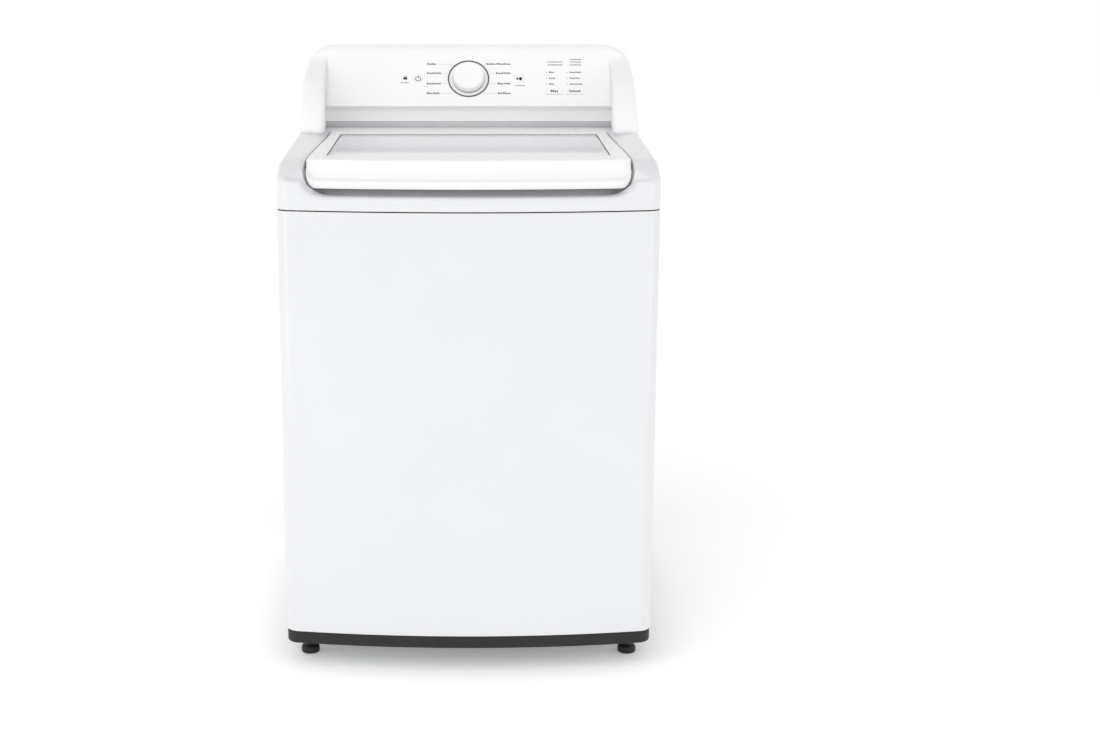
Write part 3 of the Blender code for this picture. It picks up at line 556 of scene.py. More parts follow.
def rounded(half_w, front, back, radius, bow=0.0, back_radius=None, steps=8, across=96, along=14):
    """Closed plan outline, anticlockwise from the front left, with a bowed front edge."""
    rb = radius if back_radius is None else back_radius
    points = []
    for i in range(1, across):
        share = math.sin(math.pi * (i / across - 0.5))
        points.append(((half_w - radius) * share, front))
    reach = back - rb - front - radius
    points += arc(half_w - radius, front + radius, radius, -90, 0, steps)
    points += [(half_w, front + radius + reach * i / along) for i in range(1, along)]
    points += arc(half_w - rb, back - rb, rb, 0, 90, steps)
    points += [(x * (half_w - rb), back) for x in (0.75, 0.5, 0.25, 0, -0.25, -0.5, -0.75)]
    points += arc(-half_w + rb, back - rb, rb, 90, 180, steps)
    points += [(-half_w, back - rb - reach * i / along) for i in range(1, along)]
    points += arc(-half_w + radius, front + radius, radius, 180, 270, steps)
    middle = (front + back) / 2
    bowed = []
    for x, y in points:
        share = max(0.0, (middle - y) / (middle - front))
        bowed.append((x, y - bow * (1 - (x / half_w) ** 2) * share ** 4))
    return bowed


def body_outline(inset=0.0, back=None, back_radius=8 * MM):
    rear = COVER_BACK if back is None else back
    radius = FRONT_CORNER_R - inset * 0.8
    return rounded(HALF_W - inset, CORNER_Y + inset, rear - inset, radius, FRONT_BOW, back_radius)


def ring_at(outline, z):
    return [(x, y, z(x, y) if callable(z) else z) for x, y in outline]


def quarter(t):
    """Rise of a quarter circle, from 0 to 1 as t goes from 0 to 1."""
    return 1 - math.sqrt(1 - clamp01(t) ** 2)


def shoulder_z(x, y, drop_x=0.252):
    """Height of the cover's rim: level along the sides, falling to a ledge inside drop_x at the front."""
    depth = y - CORNER_Y
    side = DECK_Z + 10 * MM * clamp01((depth - 0.1) / 0.33) - 30 * MM * (1 - clamp01(depth / 0.09)) ** 2
    front_share = clamp01((-0.240 - y) / 0.05)
    ledge = LEDGE_Z + (side - LEDGE_Z) * quarter((abs(x) - drop_x) / 0.0445)
    return side + (ledge - side) * front_share


# ----------------------------------------------------------------- cabinet


def cabinet_path(inset, rear):
    """Open path round the right side, front and left side, ending at the rear."""
    outline = body_outline(inset, rear + 0.02)
    outline = [(x, y) for x, y in outline if y < rear - 3 * MM]
    outline.sort(key=lambda p: math.atan2(p[0], -p[1]))
    edge = HALF_W - inset
    return [(-edge, rear)] + outline + [(edge, rear)]


def hemmed_sheet(low_z, high_z, rear, wall, edge_r, inset=0.0):
    """Bent sheet with rounded lower and upper edges, open at the rear."""
    rings = []
    for z, tuck in (
        (low_z, edge_r), (low_z + 0.3 * edge_r, 0.3 * edge_r), (low_z + edge_r, 0.0),
        (high_z - edge_r, 0.0), (high_z - 0.3 * edge_r, 0.3 * edge_r), (high_z, edge_r),
    ):
        outer = cabinet_path(inset + tuck, rear)
        inner = cabinet_path(inset + wall + edge_r, rear)
        rings.append([(x, y, z) for x, y in outer + inner[::-1]])
    return lofted(rings)


class WASHER_OT_cabinet(bpy.types.Operator):
    """Wrapped steel cabinet with its bowed front, and the black kick strip below it"""

    bl_idname = "washer.cabinet"
    bl_label = "Cabinet"

    def execute(self, context):
        rear = high("cabinet_wrap").y
        sheet = hemmed_sheet(CABINET_Z, high("cabinet_wrap").z - SEAM, rear, SHEET, 0.9 * MM)
        object_from("cabinet_sheet", sheet, "enamel", "cabinet", ["cabinet_wrap"])
        strip_low, strip_high = low("kick_strip").z, high("kick_strip").z
        strip = hemmed_sheet(
            strip_low, strip_high, rear, 1.5 * MM, 1.6 * MM, HALF_W - high("kick_strip").x
        )
        object_from("kick_skirt", strip, "black_plastic", "cabinet", ["kick_strip"])
        return {"FINISHED"}


# ----------------------------------------------------------------- top cover


def cover_rings():
    def over(outline, base, drop, drop_x):
        return [(x, y, shoulder_z(*under, drop_x) - drop) for (x, y), under in zip(outline, base)]

    base = body_outline(6 * MM)

    def rim(inset, drop, drop_x=0.252):
        return over(body_outline(inset), base, drop, drop_x)

    def opening(grow, front):
        return tapered(rounded(OPENING_HALF_W + grow, front, 0.232 + grow, 12 * MM, 20 * MM, 16 * MM))

    def facet(share, drop):
        """Inner edge of the flat shoulder, which swings outwards towards the console."""
        edge = []
        for x, y in opening(6 * MM, -0.304):
            out = 36 * MM * smooth((y + 0.25) / 0.32) * (abs(x) > 0.27)
            back = smooth((y - 0.205) / 0.030)
            under = drop + (7.5 * MM if share < 1 else 0.0) * back
            edge.append((x + math.copysign(out * share, x), y + 52 * MM * share * back, under))
        return [(x, y, shoulder_z(x, y) - under) for x, y, under in edge]

    def sunk(grow, drop, front, depth):
        """Edge of the opening, sinking by depth towards the console."""
        edge = opening(grow, front)
        lowered = over(edge, opening(0, front), drop, 0.252)
        return [(x, y, z - depth * smooth((y + 0.25) / 0.32)) for x, y, z in lowered]

    def floor(grow, drop):
        return ring_at(opening(grow, -0.264 - grow), FLOOR_Z - drop)

    def ledge(grow, front, drop):
        return over(opening(grow, front), opening(0, front), drop, 0.252)

    def throat(grow, z):
        return ring_at(rounded(THROAT_HALF_W + grow, THROAT_Y[0] - grow, THROAT_Y[1] + grow, THROAT_R), z)

    outside = [
        ring_at(body_outline(1.2 * MM), COVER_Z), ring_at(body_outline(0.4 * MM), COVER_Z + 0.4 * MM),
        ring_at(body_outline(), COVER_Z + 1.5 * MM), rim(0.0, 16 * MM), rim(0.2 * MM, 12 * MM),
        rim(0.9 * MM, 8 * MM), rim(2.4 * MM, 4.4 * MM), rim(4.6 * MM, 1.9 * MM), rim(7.5 * MM, 0.4 * MM),
        rim(10 * MM, 0.0), facet(1.0, 0.0), facet(0.93, 0.4 * MM),
        sunk(2.2 * MM, 0.2 * MM, -0.304, 7 * MM), sunk(0.8 * MM, 0.8 * MM, -0.296, 7 * MM),
        sunk(0.1 * MM, 2.6 * MM, -0.278, 7 * MM), floor(0.0, -4 * MM), floor(-1.2 * MM, -1 * MM),
        floor(-4 * MM, 0.0), throat(8 * MM, FLOOR_Z), throat(3.5 * MM, FLOOR_Z - 0.5 * MM),
        throat(1.0 * MM, FLOOR_Z - 3 * MM), throat(0.0, FLOOR_Z - 7 * MM), throat(0.0, LIP_Z + 1 * MM),
    ]
    inside = [
        throat(0.5 * MM, LIP_Z), throat(SHELL - 0.5 * MM, LIP_Z), throat(SHELL, LIP_Z + 1 * MM),
        throat(6 * MM, FLOOR_Z - SHELL - 2 * MM), floor(SHELL, SHELL + 1 * MM),
        ledge(SHELL + 1 * MM, -0.306, 11 * MM), rim(14 * MM, 11 * MM, 0.300),
        rim(5 * MM, 17 * MM, 0.300), ring_at(body_outline(SHELL), COVER_Z + 2 * MM),
        ring_at(body_outline(SHELL), COVER_Z),
    ]
    return outside + inside


class WASHER_OT_top_cover(bpy.types.Operator):
    """Top cover with its rim, lid recess, front ledge and throat"""

    bl_idname = "washer.top_cover"
    bl_label = "Top cover"

    def execute(self, context):
        cover = object_from(
            "cover_shell", lofted(cover_rings(), wrap=True), "enamel", "cabinet", ["top_cover"], angle=40
        )
        slot = boxed((0.196, -0.268, 0.90), (0.214, -0.247, 0.925))
        carve(cover, [slot])
        return {"FINISHED"}


# ---------------------------------------------------------------------- lid


def tapered(outline):
    """Draw an outline's sides in towards the hinge, as the lid and its opening are."""
    return [(x * (1 - LID_TAPER / LID_HALF_W * smooth((y + 0.26) / 0.42)), y) for x, y in outline]


def lid_height(x, y, side, front, rear, rise=0.0):
    """Blend a height between the lid's side, front and rear, rounding up the front corners."""
    to_front = smooth((-0.276 - y) / 0.018)
    to_rear = clamp01((y - 0.196) / 0.008)
    front += rise * quarter((abs(x) - 0.272) / 0.0185)
    return side + (front - side) * to_front + (rear - side) * to_rear


def lid_ring(half_w, front, back, heights, radius=12 * MM, back_radius=10 * MM):
    outline = rounded(half_w, front, back, radius, LID_BOW, back_radius)
    return ring_at(tapered(outline), lambda x, y: lid_height(x, y, *heights))


def lid_seat(grow, z, radius=6 * MM):
    return ring_at(
        rounded(PANEL_HALF_W + grow, PANEL_SPAN[0] - grow, PANEL_SPAN[1] + grow, radius), z
    )


def nose(angle):
    """y and z on the hinge nose, angle in degrees from straight back."""
    a = math.radians(angle)
    return HINGE_Y + NOSE_R * math.cos(a), HINGE_Z + NOSE_R * math.sin(a)


def lid_rings():
    """Outer mould: apron lip, shelf, cove up to the top, seat for the panel and the underside."""
    top, under = LID_TOP_Z, 7 * MM

    def at(tuck, front_y, front_z, side_z, angle, rise):
        back_y, back_z = nose(angle)
        return lid_ring(LID_HALF_W - tuck, front_y, back_y, (side_z, front_z, back_z, rise))

    lip, shelf = APRON_Y, APRON_Z + 13.5 * MM
    return [
        at(4.0 * MM, lip + 1.6 * MM, APRON_Z, 0.9145, -88, 0.026),
        at(3.1 * MM, lip + 0.5 * MM, APRON_Z + 0.5 * MM, 0.9150, -80, 0.026),
        at(2.7 * MM, lip, APRON_Z + 1.8 * MM, 0.9165, -68, 0.025),
        at(2.4 * MM, lip + 0.6 * MM, shelf - 1.6 * MM, 0.9215, -52, 0.019),
        at(2.3 * MM, lip + 1.0 * MM, shelf - 0.5 * MM, 0.9235, -42, 0.018),
        at(2.2 * MM, lip + 2.0 * MM, shelf - 0.1 * MM, 0.9250, -34, 0.0175),
        at(1.9 * MM, lip + 8 * MM, shelf + 1.0 * MM, 0.9285, -25, 0.0165),
        at(1.5 * MM, lip + 15 * MM, shelf + 3.2 * MM, 0.9320, -12, 0.012),
        at(1.2 * MM, lip + 22 * MM, shelf + 6.8 * MM, 0.9355, 4, 0.010),
        at(0.9 * MM, lip + 29 * MM, shelf + 12 * MM, 0.9390, 18, 0.007),
        at(0.5 * MM, lip + 34.5 * MM, shelf + 19 * MM, 0.9420, 32, 0.004),
        at(0.2 * MM, lip + 38.5 * MM, shelf + 26 * MM, 0.9448, 46, 0.002),
        at(0.0, lip + 40.5 * MM, top - 3.6 * MM, 0.9466, 60, 0.001),
        at(0.5 * MM, lip + 41.6 * MM, top - 1.4 * MM, 0.9486, 74, 0.0),
        at(1.5 * MM, lip + 42.8 * MM, top - 0.4 * MM, 0.9496, 84, 0.0),
        lid_ring(LID_HALF_W - 3.2 * MM, lip + 44.6 * MM, HINGE_Y + 1 * MM, (top, top, top)),
        lid_ring(LID_HALF_W - 8 * MM, lip + 50 * MM, HINGE_Y - 4 * MM, (top, top, top)),
        lid_seat(2.4 * MM, top), lid_seat(0.9 * MM, top - 0.1 * MM), lid_seat(0.1 * MM, top - 0.7 * MM),
        lid_seat(0.0, top - 4.5 * MM), lid_seat(-10 * MM, top - 4.5 * MM), lid_seat(-10 * MM, top - under),
        lid_ring(LID_HALF_W - 7 * MM, LID_FRONT_Y + 4 * MM, 0.2015, (top - under,) * 3),
        lid_ring(LID_HALF_W - 6 * MM, APRON_Y + 11 * MM, 0.2015, (0.926, 0.917, 0.926, 0.016)),
        lid_ring(LID_HALF_W - 6 * MM, APRON_Y + 4 * MM, 0.2015, (0.9145, APRON_Z, HINGE_Z - NOSE_R, 0.026)),
    ]


def liner_ring(inset, z):
    return ring_at(rounded(0.2835 - inset, -0.2595 + inset, 0.1995 - inset, 18 * MM, 16 * MM, 8 * MM), z)


class WASHER_OT_lid(bpy.types.Operator):
    """Lid moulding, polished panel with a dark ring of painted shade in the gap round it, liner and bumpers"""

    bl_idname = "washer.lid"
    bl_label = "Lid"

    def execute(self, context):
        lid = object_from(
            "lid_moulding", lofted(lid_rings(), wrap=True), "white_abs", "lid", ["lid_frame"], angle=50
        )
        sockets = [
            rod(4.6 * MM, (side * 0.2825, HINGE_Y, HINGE_Z), (side * 0.31, HINGE_Y, HINGE_Z))
            for side in (-1, 1)
        ]
        carve(lid, sockets)
        gap, plate_low = 1.5 * MM, low("lid_panel").z
        plate_high = high("lid_panel").z - 0.9 * MM
        plate = lofted([
            lid_seat(-gap - 0.4 * MM, plate_low), lid_seat(-gap, plate_low + 0.4 * MM),
            lid_seat(-gap, plate_high - 0.6 * MM), lid_seat(-gap - 0.2 * MM, plate_high - 0.15 * MM),
            lid_seat(-gap - 0.7 * MM, plate_high), lid_seat(-gap - 4 * MM, plate_high),
            lid_seat(-gap - 12 * MM, plate_high),
        ])
        object_from("lid_plate", plate, "gloss_abs", "lid", ["lid_panel"])
        # Dark ring filling the gap round the panel: painted shade standing in for the shadow down that gap.
        gap_shade = lofted([
            lid_seat(-0.1 * MM, plate_low), lid_seat(-0.1 * MM, plate_high + 0.3 * MM),
            lid_seat(1.0 * MM - gap, plate_high + 0.3 * MM), lid_seat(0.2 * MM - gap, plate_high - 0.4 * MM),
            lid_seat(0.2 * MM - gap, plate_low),
        ], wrap=True)
        object_from("lid_plate_gasket", gap_shade, "rubber", "lid")
        z = high("lid_liner").z - 2.5 * MM
        skin = lofted([
            liner_ring(34 * MM, z - 6 * MM), liner_ring(31 * MM, z - 5.9 * MM), liner_ring(28.5 * MM, z - 5 * MM),
            liner_ring(22 * MM, z - 0.8 * MM), liner_ring(19 * MM, z), liner_ring(1 * MM, z),
            liner_ring(0.2 * MM, z + 0.4 * MM), liner_ring(0.0, z + 1.2 * MM), liner_ring(0.4 * MM, z + 2.3 * MM),
            liner_ring(18 * MM, z + 2.5 * MM), liner_ring(29 * MM, z - 3.5 * MM),
        ])
        object_from("lid_skin", skin, "white_abs", "lid", ["lid_liner"])
        for side in ("left", "right"):
            node = f"lid_bumper_{side}"
            lower, upper = low(node), high(node)
            radius = (upper.x - lower.x) / 2
            middle = (lower + upper) / 2
            stop = [
                (0, lower.z), (radius * 0.8, lower.z), (radius, lower.z + 3 * MM),
                (radius * 0.8, upper.z - 3 * MM), (radius, upper.z), (0, upper.z),
            ]
            bm = moved(turned(stop, 32, 0.8 * MM), Matrix.Translation((middle.x, middle.y, 0)))
            object_from(f"lid_stop_{side}", bm, "rubber", "lid", [node])
        return {"FINISHED"}


# ------------------------------------------------------------------ console


def face_y(z):
    foot_y, foot_z = FACE_FOOT
    top_z = foot_z + FACE_LENGTH * math.cos(LEAN)
    strip_low, strip_high, depth = 0.9645, 0.9835, 11 * MM
    if z <= strip_low:
        return foot_y + depth + 14 * MM * math.sqrt(1 - ((z - CONSOLE_Z) / (strip_low - CONSOLE_Z)) ** 2)
    if z <= strip_high:
        return foot_y + depth
    if z <= foot_z:
        return foot_y + depth * math.sqrt(max(0.0, 1 - ((z - strip_high) / (foot_z - strip_high)) ** 2))
    slope = foot_y + (z - foot_z) * math.tan(LEAN)
    if z <= top_z:
        return slope
    share = clamp01((z - top_z) / (TOP_Z - top_z))
    return slope + 13.5 * MM * (1 - math.sqrt(1 - share ** 2))


def cheek_y(z):
    share = clamp01((z - CONSOLE_Z) / (TOP_Z - CONSOLE_Z))
    sweep = 0.100 + 0.235 * share ** 1.5
    return sweep + (face_y(z) - sweep) * smooth((z - 1.050) / 0.048)


def console_half_width(z):
    taper = 3 * MM * clamp01((z - CONSOLE_Z) / 0.10)
    return HALF_W - taper - 0.058 * quarter((z - 1.074) / (TOP_Z - 1.074))


def console_slice(z, inset=0.0, drop=0.0, steps=8):
    """Plan section of the console at a height, moved inwards and down."""
    half = console_half_width(z) - inset
    face, cheek = face_y(z) + inset, cheek_y(z) + inset
    toe_share = smooth((0.245 - cheek) / 0.145)
    inner = min(CHEEK_X, console_half_width(z) - 30 * MM) + inset
    toe = inner - 10 * MM * toe_share
    rear = BACK_Y - 1.5 * MM - inset
    step = face - cheek
    soft = min(11 * MM, 0.6 * step)
    span = rear - cheek
    corner = min(17 * MM, 0.35 * span)
    shy = min(11 * MM, (half - inner) * 0.28)
    right = [(0.1, face), (0.2, face), (inner - 25 * MM, face), (inner - 4 * MM, face)]
    right += [(inner - 1.2 * MM, face - 0.01 * step), (inner - 0.2 * MM, face - 0.05 * step)]
    right += [((inner + toe) / 2 + 0.2 * MM, cheek + soft + (face - cheek - soft) * 0.5)]
    turn = [math.pi / 2 * i / steps for i in range(steps + 1)]
    back_r = corner / 3
    right += [(toe + shy * (1 - math.cos(a)) + 0.4 * MM, cheek + soft * (1 - math.sin(a))) for a in turn]
    right += [(half - 14 * MM * (1 - math.sin(a)), cheek + corner * (1 - math.cos(a))) for a in turn]
    right += [(half, cheek + corner + (span - corner) * s) for s in (0.2, 0.4, 0.6, 0.8)]
    right += [(half - back_r * (1 - math.cos(a)), rear - back_r * (1 - math.sin(a))) for a in turn]
    right += [(0.2, rear), (0.1, rear)]
    left = [(-x, y) for x, y in reversed(right)]
    loop = [(0, face)] + right + [(0, rear)] + left
    return [(x, y, z - drop) for x, y in loop]


def console_levels():
    """Heights of the console's sections, close together where it curves."""
    crown = [1.1011 + (TOP_Z - 1.1011) * math.sin(math.pi / 2 * i / 8) for i in range(1, 9)]
    body = [0.9592, 0.9600, GROOVE_Z, 0.9622, 0.9634, 0.9641, 0.9646, 0.9745, 0.9832, 0.9838, 0.9855, 0.9875]
    body += [0.9895, 0.9918, 0.9936, 0.9946, 0.9951, 1.003, 1.012, 1.020]
    rise = [1.020 + (1.1011 - 1.020) * i / 22 for i in range(1, 23)]
    return [CONSOLE_Z] + body + rise + crown


class WASHER_OT_console(bpy.types.Operator):
    """Console housing with its swept cheeks"""

    bl_idname = "washer.console"
    bl_label = "Console housing"

    def execute(self, context):
        levels = console_levels()
        tuck = 8.5 * MM
        outside = [console_slice(z, GROOVE if z == GROOVE_Z else 0.0) for z in reversed(levels)]
        outside.append(console_slice(CONSOLE_Z, 6 * MM, tuck))
        inside = [console_slice(CONSOLE_Z, 8.5 * MM, tuck)]
        inside += [console_slice(z, SHELL, SHELL if z > 1.1 else 0.0) for z in levels]
        housing = object_from(
            "console_shell", lofted(outside + inside), "white_abs", "cabinet", ["console_housing"], angle=32
        )
        window = moved(boxed((-0.266, -0.052, -0.02), (0.266, 0.050, 0.02)), face_matrix())
        carve(housing, [window])
        return {"FINISHED"}


# ----------------------------------------------------------------- controls


def face_matrix():
    """Places things drawn on the control face: local X right, Y up the face, Z outwards."""
    foot_y, foot_z = FACE_FOOT
    middle = Vector((0, foot_y + FACE_UP * math.sin(LEAN), foot_z + FACE_UP * math.cos(LEAN)))
    return Matrix.Translation(middle) @ Matrix.Rotation(math.pi / 2 - LEAN, 4, "X")


PLATE_LOW = 0.3 * MM
PLATE_TOP = 1.9 * MM
BUTTONS = {"power_button": (-0.106, 0.0, 0.0095), "start_button": (0.106, 0.0, 0.011)}
KEYS = {"temp_button": (0.1795, -0.031), "options_button": (0.2225, -0.031)}
KEY_HALF = (0.0165, 0.0045)


class WASHER_OT_control_face(bpy.types.Operator):
    """Control plate with openings for the dial and buttons"""

    bl_idname = "washer.control_face"
    bl_label = "Control face"

    def execute(self, context):
        outline = rounded(FACE_HALF_W - 0.8 * MM, -0.0645, 0.0605, 4 * MM, 0, 22 * MM)
        bm = prism(outline, PLATE_LOW, PLATE_TOP)
        holes = [rod(5.8 * MM, (0, 0, -0.01), (0, 0, 0.01))]
        holes += [
            rod(r + 0.25 * MM, (u, v, -0.01), (u, v, 0.01), 64) for u, v, r in BUTTONS.values()
        ]
        hu, hv = KEY_HALF[0] + 0.2 * MM, KEY_HALF[1] + 0.2 * MM
        holes += [boxed((u - hu, v - hv, -0.01), (u + hu, v + hv, 0.01)) for u, v in KEYS.values()]
        plate = object_from(
            "control_plate", moved(bm, face_matrix()), "white_abs", "cabinet", ["console_face"], bevel=0.35 * MM
        )
        carve(plate, [moved(hole, face_matrix()) for hole in holes])
        return {"FINISHED"}


def dial_profile():
    base = PLATE_TOP + 0.3 * MM
    return [
        (0, -13 * MM), (4.5 * MM, -13 * MM), (4.5 * MM, base + 2 * MM), (KNOB_R - 0.6 * MM, base + 2 * MM),
        (KNOB_R, base + 2.6 * MM), (KNOB_R - 0.5 * MM, 9 * MM), (KNOB_R - 1.2 * MM, 16.8 * MM),
        (KNOB_R - 2.6 * MM, 18.5 * MM), (KNOB_R - 6 * MM, 18.75 * MM), (0, 18.5 * MM),
    ]


class WASHER_OT_dial(bpy.types.Operator):
    """Cycle dial with its pointer, a dark skirt of painted shade at its foot, and the dark ring round it"""

    bl_idname = "washer.dial"
    bl_label = "Dial"

    def execute(self, context):
        knob = turned(dial_profile(), 128, 1.6 * MM)
        object_from("dial", moved(knob, face_matrix()), "white_abs", "knob", ["knob"])
        mark = boxed((-0.45 * MM, 23 * MM, 18.4 * MM), (0.45 * MM, 27 * MM, 18.7 * MM))
        object_from("dial_mark", moved(mark, face_matrix()), "grey_plastic", "knob", bevel=0.08 * MM)
        base = PLATE_TOP + 0.3 * MM
        # Dark skirt round the dial's foot: painted shade standing in for the contact shadow under its rim.
        skirt = turned([
            (KNOB_R - 3 * MM, base - 0.1 * MM), (KNOB_R - 0.2 * MM, base - 0.1 * MM),
            (KNOB_R - 0.2 * MM, base + 2.1 * MM), (KNOB_R - 3 * MM, base + 2.1 * MM),
        ], 128, 0.2 * MM)
        object_from("dial_skirt", moved(skirt, face_matrix()), "dark_trim", "knob")
        ring = turned([
            (RING_R - 2.4 * MM, base), (RING_R, base),
            (RING_R, base + 1.0 * MM), (RING_R - 2.4 * MM, base + 1.0 * MM),
        ], 128, 0.35 * MM)
        object_from("dial_ring", moved(ring, face_matrix()), "dark_trim", "cabinet", ["knob_ring"])
        return {"FINISHED"}


INK_LOW = 0.02 * MM
INK_HIGH = 0.08 * MM


def printed(outline, top=PLATE_TOP):
    """A film of ink just clear of the surface it is printed on."""
    return prism(outline, top + INK_LOW, top + INK_HIGH)


def ink_bar(u, v, width, height=1.5 * MM, top=PLATE_TOP):
    """A printed block or dash."""
    outline = rounded(width / 2, -height / 2, height / 2, height * 0.3, steps=2, across=2, along=2)
    return moved(printed(outline, top), Matrix.Translation((u, v, 0)))


def ink_arc(u, v, radius, start, end, width=0.6 * MM, top=PLATE_TOP, steps=24):
    """A printed arc, angles in degrees from the right, anticlockwise."""
    outer = arc(u, v, radius + width / 2, start, end, steps)
    inner = arc(u, v, radius - width / 2, start, end, steps)
    return printed(outer + inner[::-1], top)


def ink_disc(u, v, radius):
    return printed(arc(u, v, radius, 0, 342, 19))


LETTER_PITCH = 3.3 * MM
LETTER_HEIGHT = 3.4 * MM
WORD_GAP = 1.2 * MM
LABEL_REACH = 88 * MM


def words(u, v, counts, height=LETTER_HEIGHT, left=True, **where):
    """Blocks that stand in for the letters of each word, some taller, from one end of a label."""
    scale = height / LETTER_HEIGHT
    pitch = LETTER_PITCH * scale
    gap = WORD_GAP * scale
    total = sum(counts) * pitch + gap * (len(counts) - 1)
    x = u if left else u - total
    bars = []
    for place, count in enumerate(counts):
        for letter in range(count):
            tall = letter == 0 or (letter * 5 + place * 3 + count) % 4 == 1
            size = height * (1.45 if tall else 1.0)
            lift = (size - height) / 2
            bars.append(ink_bar(x + pitch * 0.5, v + lift, pitch * 0.74, size, **where))
            x += pitch
        x += gap
    return bars


class WASHER_OT_printing(bpy.types.Operator):
    """Generic printed marks: blocks for labels, leader lines, icons and lamp dots"""

    bl_idname = "washer.printing"
    bl_label = "Printing"

    def execute(self, context):
        marks = []
        left_rows = ((35, (6,)), (13, (5, 4)), (-12, (9,)), (-35, (4, 4)))
        right_rows = ((35, (6, 9)), (13, (5, 4)), (-12, (4, 4)), (-35, (3, 5)))
        for side, rows in ((-1, left_rows), (1, right_rows)):
            for v, counts in rows:
                width = sum(counts) * LETTER_PITCH + WORD_GAP * (len(counts) - 1)
                label_end = LABEL_REACH - width
                marks += words(side * 88 * MM, v * MM, counts, left=side < 0)
                ring_edge = math.sqrt(RING_R ** 2 - (0.9 * v * MM) ** 2) + 2.5 * MM
                if label_end - 2 * MM - ring_edge > 3 * MM:
                    middle = side * (label_end - 2 * MM + ring_edge) / 2
                    marks.append(ink_bar(middle, v * MM, label_end - 2 * MM - ring_edge, 0.25 * MM))
        marks += self.icons()
        marks += self.columns()
        object_from("face_printing", moved(joined(*marks), face_matrix()), "ink", "cabinet", angle=60)
        return {"FINISHED"}

    def icons(self):
        """Padlock beside the power button and the label under the start button."""
        u, v = -133 * MM, 2 * MM
        lock = [ink_bar(u, v - 1 * MM, 8.4 * MM, 6 * MM), ink_arc(u, v + 2 * MM, 3.0 * MM, 0, 180, 1.0 * MM)]
        lock += words(u - 9 * MM, -9.5 * MM, (4, 5), 1.9 * MM)
        lock += words(97 * MM, -16.5 * MM, (5, 6), 1.9 * MM)
        return lock

    def columns(self):
        """Two columns of lamps and labels over underlined titles, and the small rows above."""
        marks = []
        for u, rows in ((164, ((4,), (5,), (4,))), (207, ((5, 4), (5, 3), (6, 4)))):
            for v, counts in zip((15, 1, -13), rows):
                marks.append(ink_disc(u * MM, v * MM, 0.9 * MM))
                marks += words((u + 5) * MM, v * MM, counts, 2.7 * MM)
        for u in (179.5, 222.5):
            marks.append(ink_bar(u * MM, -37.3 * MM, 37 * MM, 0.35 * MM))
        for v, starts in ((46, (210,)), (40, (163, 210)), (33, (163, 210))):
            for u in starts:
                marks.append(ink_disc(u * MM, v * MM, 0.6 * MM))
                marks += words((u + 4) * MM, v * MM, (5, 6) if u > 200 else (5, 5, 4), 2.1 * MM)
        return marks


class WASHER_OT_buttons(bpy.types.Operator):
    """Power, start, temperature and options buttons with their symbols"""

    bl_idname = "washer.buttons"
    bl_label = "Buttons"

    def execute(self, context):
        for name, (u, v, r) in BUTTONS.items():
            top = PLATE_TOP + 0.35 * MM
            cap = [
                (0, -6.5 * MM), (r + 1.5 * MM, -6.5 * MM), (r + 1.5 * MM, -4.5 * MM), (r, -4.5 * MM),
                (r, top - 0.5 * MM), (r - 0.8 * MM, top - 0.05 * MM), (0, top - 0.15 * MM),
            ]
            bm = moved(turned(cap, 64, 0.3 * MM), Matrix.Translation((u, v, 0)))
            object_from(f"{name}_cap", moved(bm, face_matrix()), "white_abs", name, [name])
            if name == "power_button":
                marks = [ink_arc(u, v, 5.4 * MM, 122, 418, 1.4 * MM, top)]
                marks.append(ink_bar(u, v + 4.0 * MM, 1.4 * MM, 5.6 * MM, top))
            else:
                point = [(-5.2 * MM, -3.6 * MM), (0.6 * MM, 0), (-5.2 * MM, 3.6 * MM)]
                marks = [printed([(u + x, v + y) for x, y in point], top)]
                marks += [ink_bar(u + shift * MM, v, 1.5 * MM, 7.2 * MM, top) for shift in (2.0, 4.5)]
            object_from(f"{name}_symbol", moved(joined(*marks), face_matrix()), "ink", name, angle=60)
        for name, (u, v) in KEYS.items():
            top = PLATE_TOP + 0.15 * MM
            hu, hv = KEY_HALF
            key = moved(boxed((u - hu, v - hv, -6.5 * MM), (u + hu, v + hv, top)), face_matrix())
            object_from(f"{name}_cap", key, "white_abs", name, [name], bevel=0.3 * MM)
            count, size = (4, 4.2 * MM) if name == "temp_button" else (7, 3.6 * MM)
            label = words(u - count * size * 0.485, v + 1 * MM, (count,), size, top=top)
            object_from(f"{name}_label", moved(joined(*label), face_matrix()), "ink", name, angle=60)
        return {"FINISHED"}


# ------------------------------------------------------------ repeated shapes


def new_tree(name, inputs):
    """A Geometry Nodes tree with named inputs, and its group input and output nodes."""
    tree = bpy.data.node_groups.new(name, "GeometryNodeTree")
    tree.interface.new_socket("Geometry", in_out="OUTPUT", socket_type="NodeSocketGeometry")
    for socket_name, kind in inputs:
        tree.interface.new_socket(socket_name, in_out="INPUT", socket_type=f"NodeSocket{kind}")
    return tree, tree.nodes.new("NodeGroupInput").outputs, tree.nodes.new("NodeGroupOutput")


def calc(tree, operation, a, b):
    """A Math node on two numbers or sockets."""
    node = tree.nodes.new("ShaderNodeMath")
    node.operation = operation
    for socket, value in zip(node.inputs, (a, b)):
        if isinstance(value, bpy.types.NodeSocket):
            tree.links.new(value, socket)
        else:
            socket.default_value = value
    return node.outputs[0]


def end_tree(tree, geometry, given, out):
    """Realise what was made, paint it and hand it out."""
    solid = add(tree, "GeometryNodeRealizeInstances", {"Geometry": geometry})
    painted = add(
        tree, "GeometryNodeSetMaterial", {"Geometry": solid.outputs[0], "Material": given["Material"]}
    )
    tree.links.new(painted.outputs[0], out.inputs[0])
    return tree


